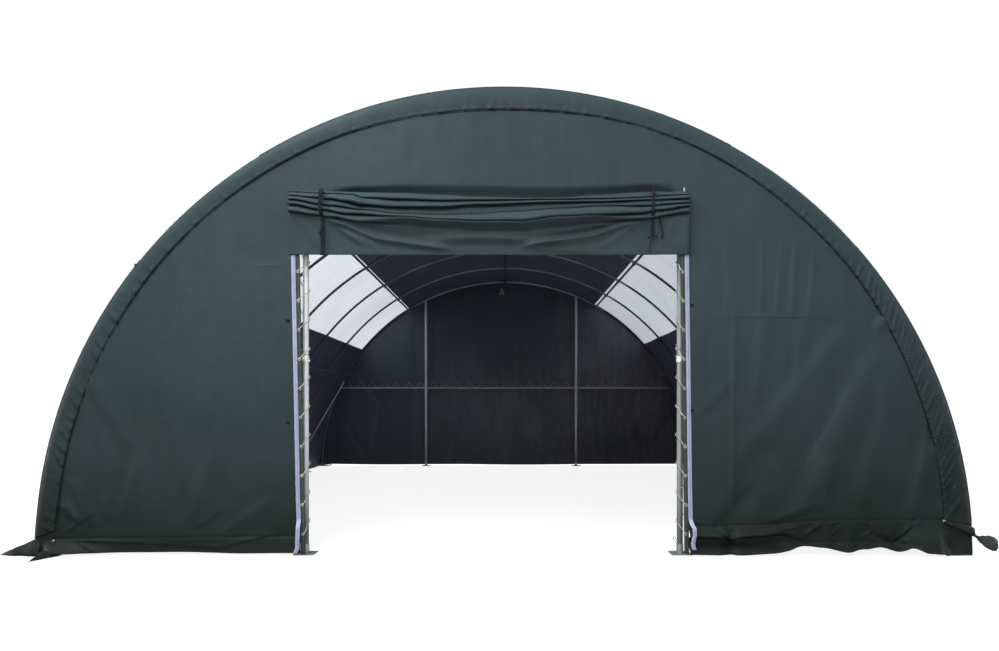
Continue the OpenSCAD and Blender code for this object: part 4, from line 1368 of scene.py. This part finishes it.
def dress_door_edges():
    for side, word in ((-1, "left"), (1, "right")):
        strip_nodes = ["lacing_strips"] if side < 0 else []
        zip_nodes = ["door_zips"] if side < 0 else []
        lacing_strip("lacing_strip_" + word, side, -0.002, 0.046, 0.0, STRIP_GREEN, *strip_nodes)
        lacing_strip("lacing_line_" + word, side, 0.010, 0.020, 0.003, STRIP_OLIVE)
        zip_strip("zip_tape_" + word, side, 0.041, 0.082, 0.006, ZIP_WHITE, *zip_nodes)
        zip_strip("zip_teeth_" + word, side, 0.059, 0.064, 0.009, ZIP_TEETH)
    mesh = bmesh.new()
    for side in (-1, 1):
        for k in range(GROMMETS):
            z = FIRST_GROMMET + k * LACE_PITCH
            ring = bmesh.ops.create_circle(mesh, segments=14, radius=0.009)
            edges = {e for v in ring["verts"] for e in v.link_edges}
            flange = bmesh.ops.extrude_edge_only(mesh, edges=list(edges))
            outer = [v for v in flange["geom"] if isinstance(v, bmesh.types.BMVert)]
            bmesh.ops.scale(mesh, vec=(1.7, 1.7, 1), verts=outer)
            bmesh.ops.translate(mesh, vec=(0, 0, 0.0025), verts=ring["verts"])
            every = ring["verts"] + outer
            bmesh.ops.rotate(mesh, matrix=Matrix.Rotation(math.pi / 2, 3, "X"), verts=every)
            bmesh.ops.translate(mesh, vec=(beside_door(side, 0.021, z), -(SHEET_Y + 0.0035), z), verts=every)
    ride_root(sewn("lacing_grommets", mesh, frontwards, (BRASS,), thick=0.0015), "zinc_hardware")


# Small things round the doorway: name, material, where it starts and ends in X and Z, and width
DOOR_TRIMS = [
    ("tie_tab_left_high", STRAP_BLACK, (-2.085, 2.287), (-2.140, 2.296), 0.024),
    ("tie_tab_left_low", STRAP_BLACK, (-2.085, 1.293), (-2.140, 1.312), 0.024),
    ("tie_tab_right_high", STRAP_BLACK, (1.815, 2.442), (1.862, 2.442), 0.026),
    ("tie_tab_right_low", STRAP_BLACK, (1.818, 1.420), (1.865, 1.416), 0.026),
    ("zip_end_right", ZIP_WHITE, (1.754, 3.540), (1.756, 3.600), 0.018)]
LOOSE_LOOP = [(1.712, 0.100), (1.690, 0.118), (1.668, 0.150), (1.666, 0.172), (1.682, 0.168), (1.700, 0.142)]


def dress_post_joint(word, post, z):
    """The joint of a door post's two tubes, with the bolts above and below it."""
    radius = (high("front_post_" + word).x - low("front_post_" + word).x) / 2
    ring = [Vector((post + (radius + 0.0005) * math.cos(t), POST_Y + (radius + 0.0005) * math.sin(t), z))
            for t in [2 * math.pi * k / 40 for k in range(40)]]
    ride_root(round_cord("post_joint_" + word, ring, 0.0028, DARK_CORD_AND_SHADE), "zinc_hardware")
    mesh = bmesh.new()
    for side in (-1, 1):
        for up in (-0.06, 0.05):
            made = bmesh.ops.create_cone(mesh, cap_ends=True, segments=6, radius1=0.009, radius2=0.008,
                                         depth=0.016)
            bmesh.ops.rotate(mesh, matrix=Matrix.Rotation(math.pi / 2, 3, "Y"), verts=made["verts"])
            bmesh.ops.translate(mesh, verts=made["verts"],
                                vec=(post + side * (radius + 0.006), POST_Y - 0.01, z + up))
    ride_root(finish_mesh("post_bolts_" + word, mesh, ZINC_BOLT), "zinc_hardware")


def dress_door_trims():
    """Tie tabs, the zip's end, the joints of the posts, and a loose loop and end of the lacing."""
    for name, material, start, end, width in DOOR_TRIMS:
        points = []
        for k in range(7):
            x, z = between(k / 6, start[0], end[0]), between(k / 6, start[1], end[1])
            points.append(Vector((x, front_sheet_y(x, z) - 0.004 - 0.006 * math.sin(k * 0.9), z)))
        across = Vector((start[1] - end[1], 0, end[0] - start[0])).normalized()
        trim = ribbon(name, points, [across] * len(points), width, material, thick=0.002)
        ride_root(trim, "zip_tape" if material == ZIP_WHITE else "strap_webbing")
    dress_post_joint("left", POST_X[0], 1.965)
    dress_post_joint("right", POST_X[1], 2.014)
    loop = smooth_route([Vector((x, POST_Y - 0.042, z)) for x, z in LOOSE_LOOP], 6)
    ride_root(round_cord("loose_rope_loop", loop, 0.0035, ROPE_CREAM), "rope")
    tag = [Vector((1.745 + 0.003 * k, POST_Y - 0.036, 0.648 + 0.003 * k)) for k in range(7)]
    ride_root(ribbon("post_tie_end", tag, [Vector((-0.5, 0, 1))] * len(tag), 0.012, ROPE_CREAM), "rope")


# ---------------------------------------------------------------- metal frame

def paint_frame():
    """Gives the galvanised parts of the frame their finishes."""
    finish = {
        ZINC_POST: ["front_post_left", "front_side_girts"],
        ZINC_SHADED_POST: ["front_post_right"],
        ZINC_BACK: ["back_posts", "left_wind_braces"],
        ZINC_GIRT: ["back_girt"],
        ZINC_TUBE: ARCHES,
        ZINC_RIDGE: ["ridge_purlin"],
        ZINC_BRACE: ["left_upper_purlin", "right_upper_purlin", "left_lower_purlin",
                     "right_lower_purlin", "front_header", "right_wind_braces"],
        ZINC_PLATE: ["left_foot_plates", "right_foot_plates", "post_feet", "purlin_clamps"],
    }
    for material, names in finish.items():
        for name in names:
            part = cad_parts[name]
            part.data.materials.clear()
            part.data.materials.append(material)


def dress_toggle():
    """The two short tied cord ends that hang spread under the ridge at the back."""
    centre = middle("ridge_toggle")
    mesh = bmesh.new()
    for side in (-1, 1):
        made = bmesh.ops.create_cone(mesh, cap_ends=True, segments=12, radius1=0.024, radius2=0.010,
                                     depth=0.17)
        bmesh.ops.rotate(mesh, matrix=Matrix.Rotation(-side * 0.20, 3, "Y"), verts=made["verts"])
        bmesh.ops.translate(mesh, vec=(centre.x + side * 0.026, centre.y, low("ridge_toggle").z + 0.09),
                            verts=made["verts"])
    ride_root(finish_mesh("ridge_toggle_ends", mesh, CORD_PALE), "rope", "ridge_toggle")


place_camera()
lay_floor()
light_studio()
paint_frame()
dress_cover()
dress_skylights()
weld_cover()
dress_bands()
dress_front_sheet()
dress_back_sheet()
dress_door()
dress_straps()
dress_door_edges()
dress_door_trims()
dress_lacing()
dress_toggle()
dress_corners()
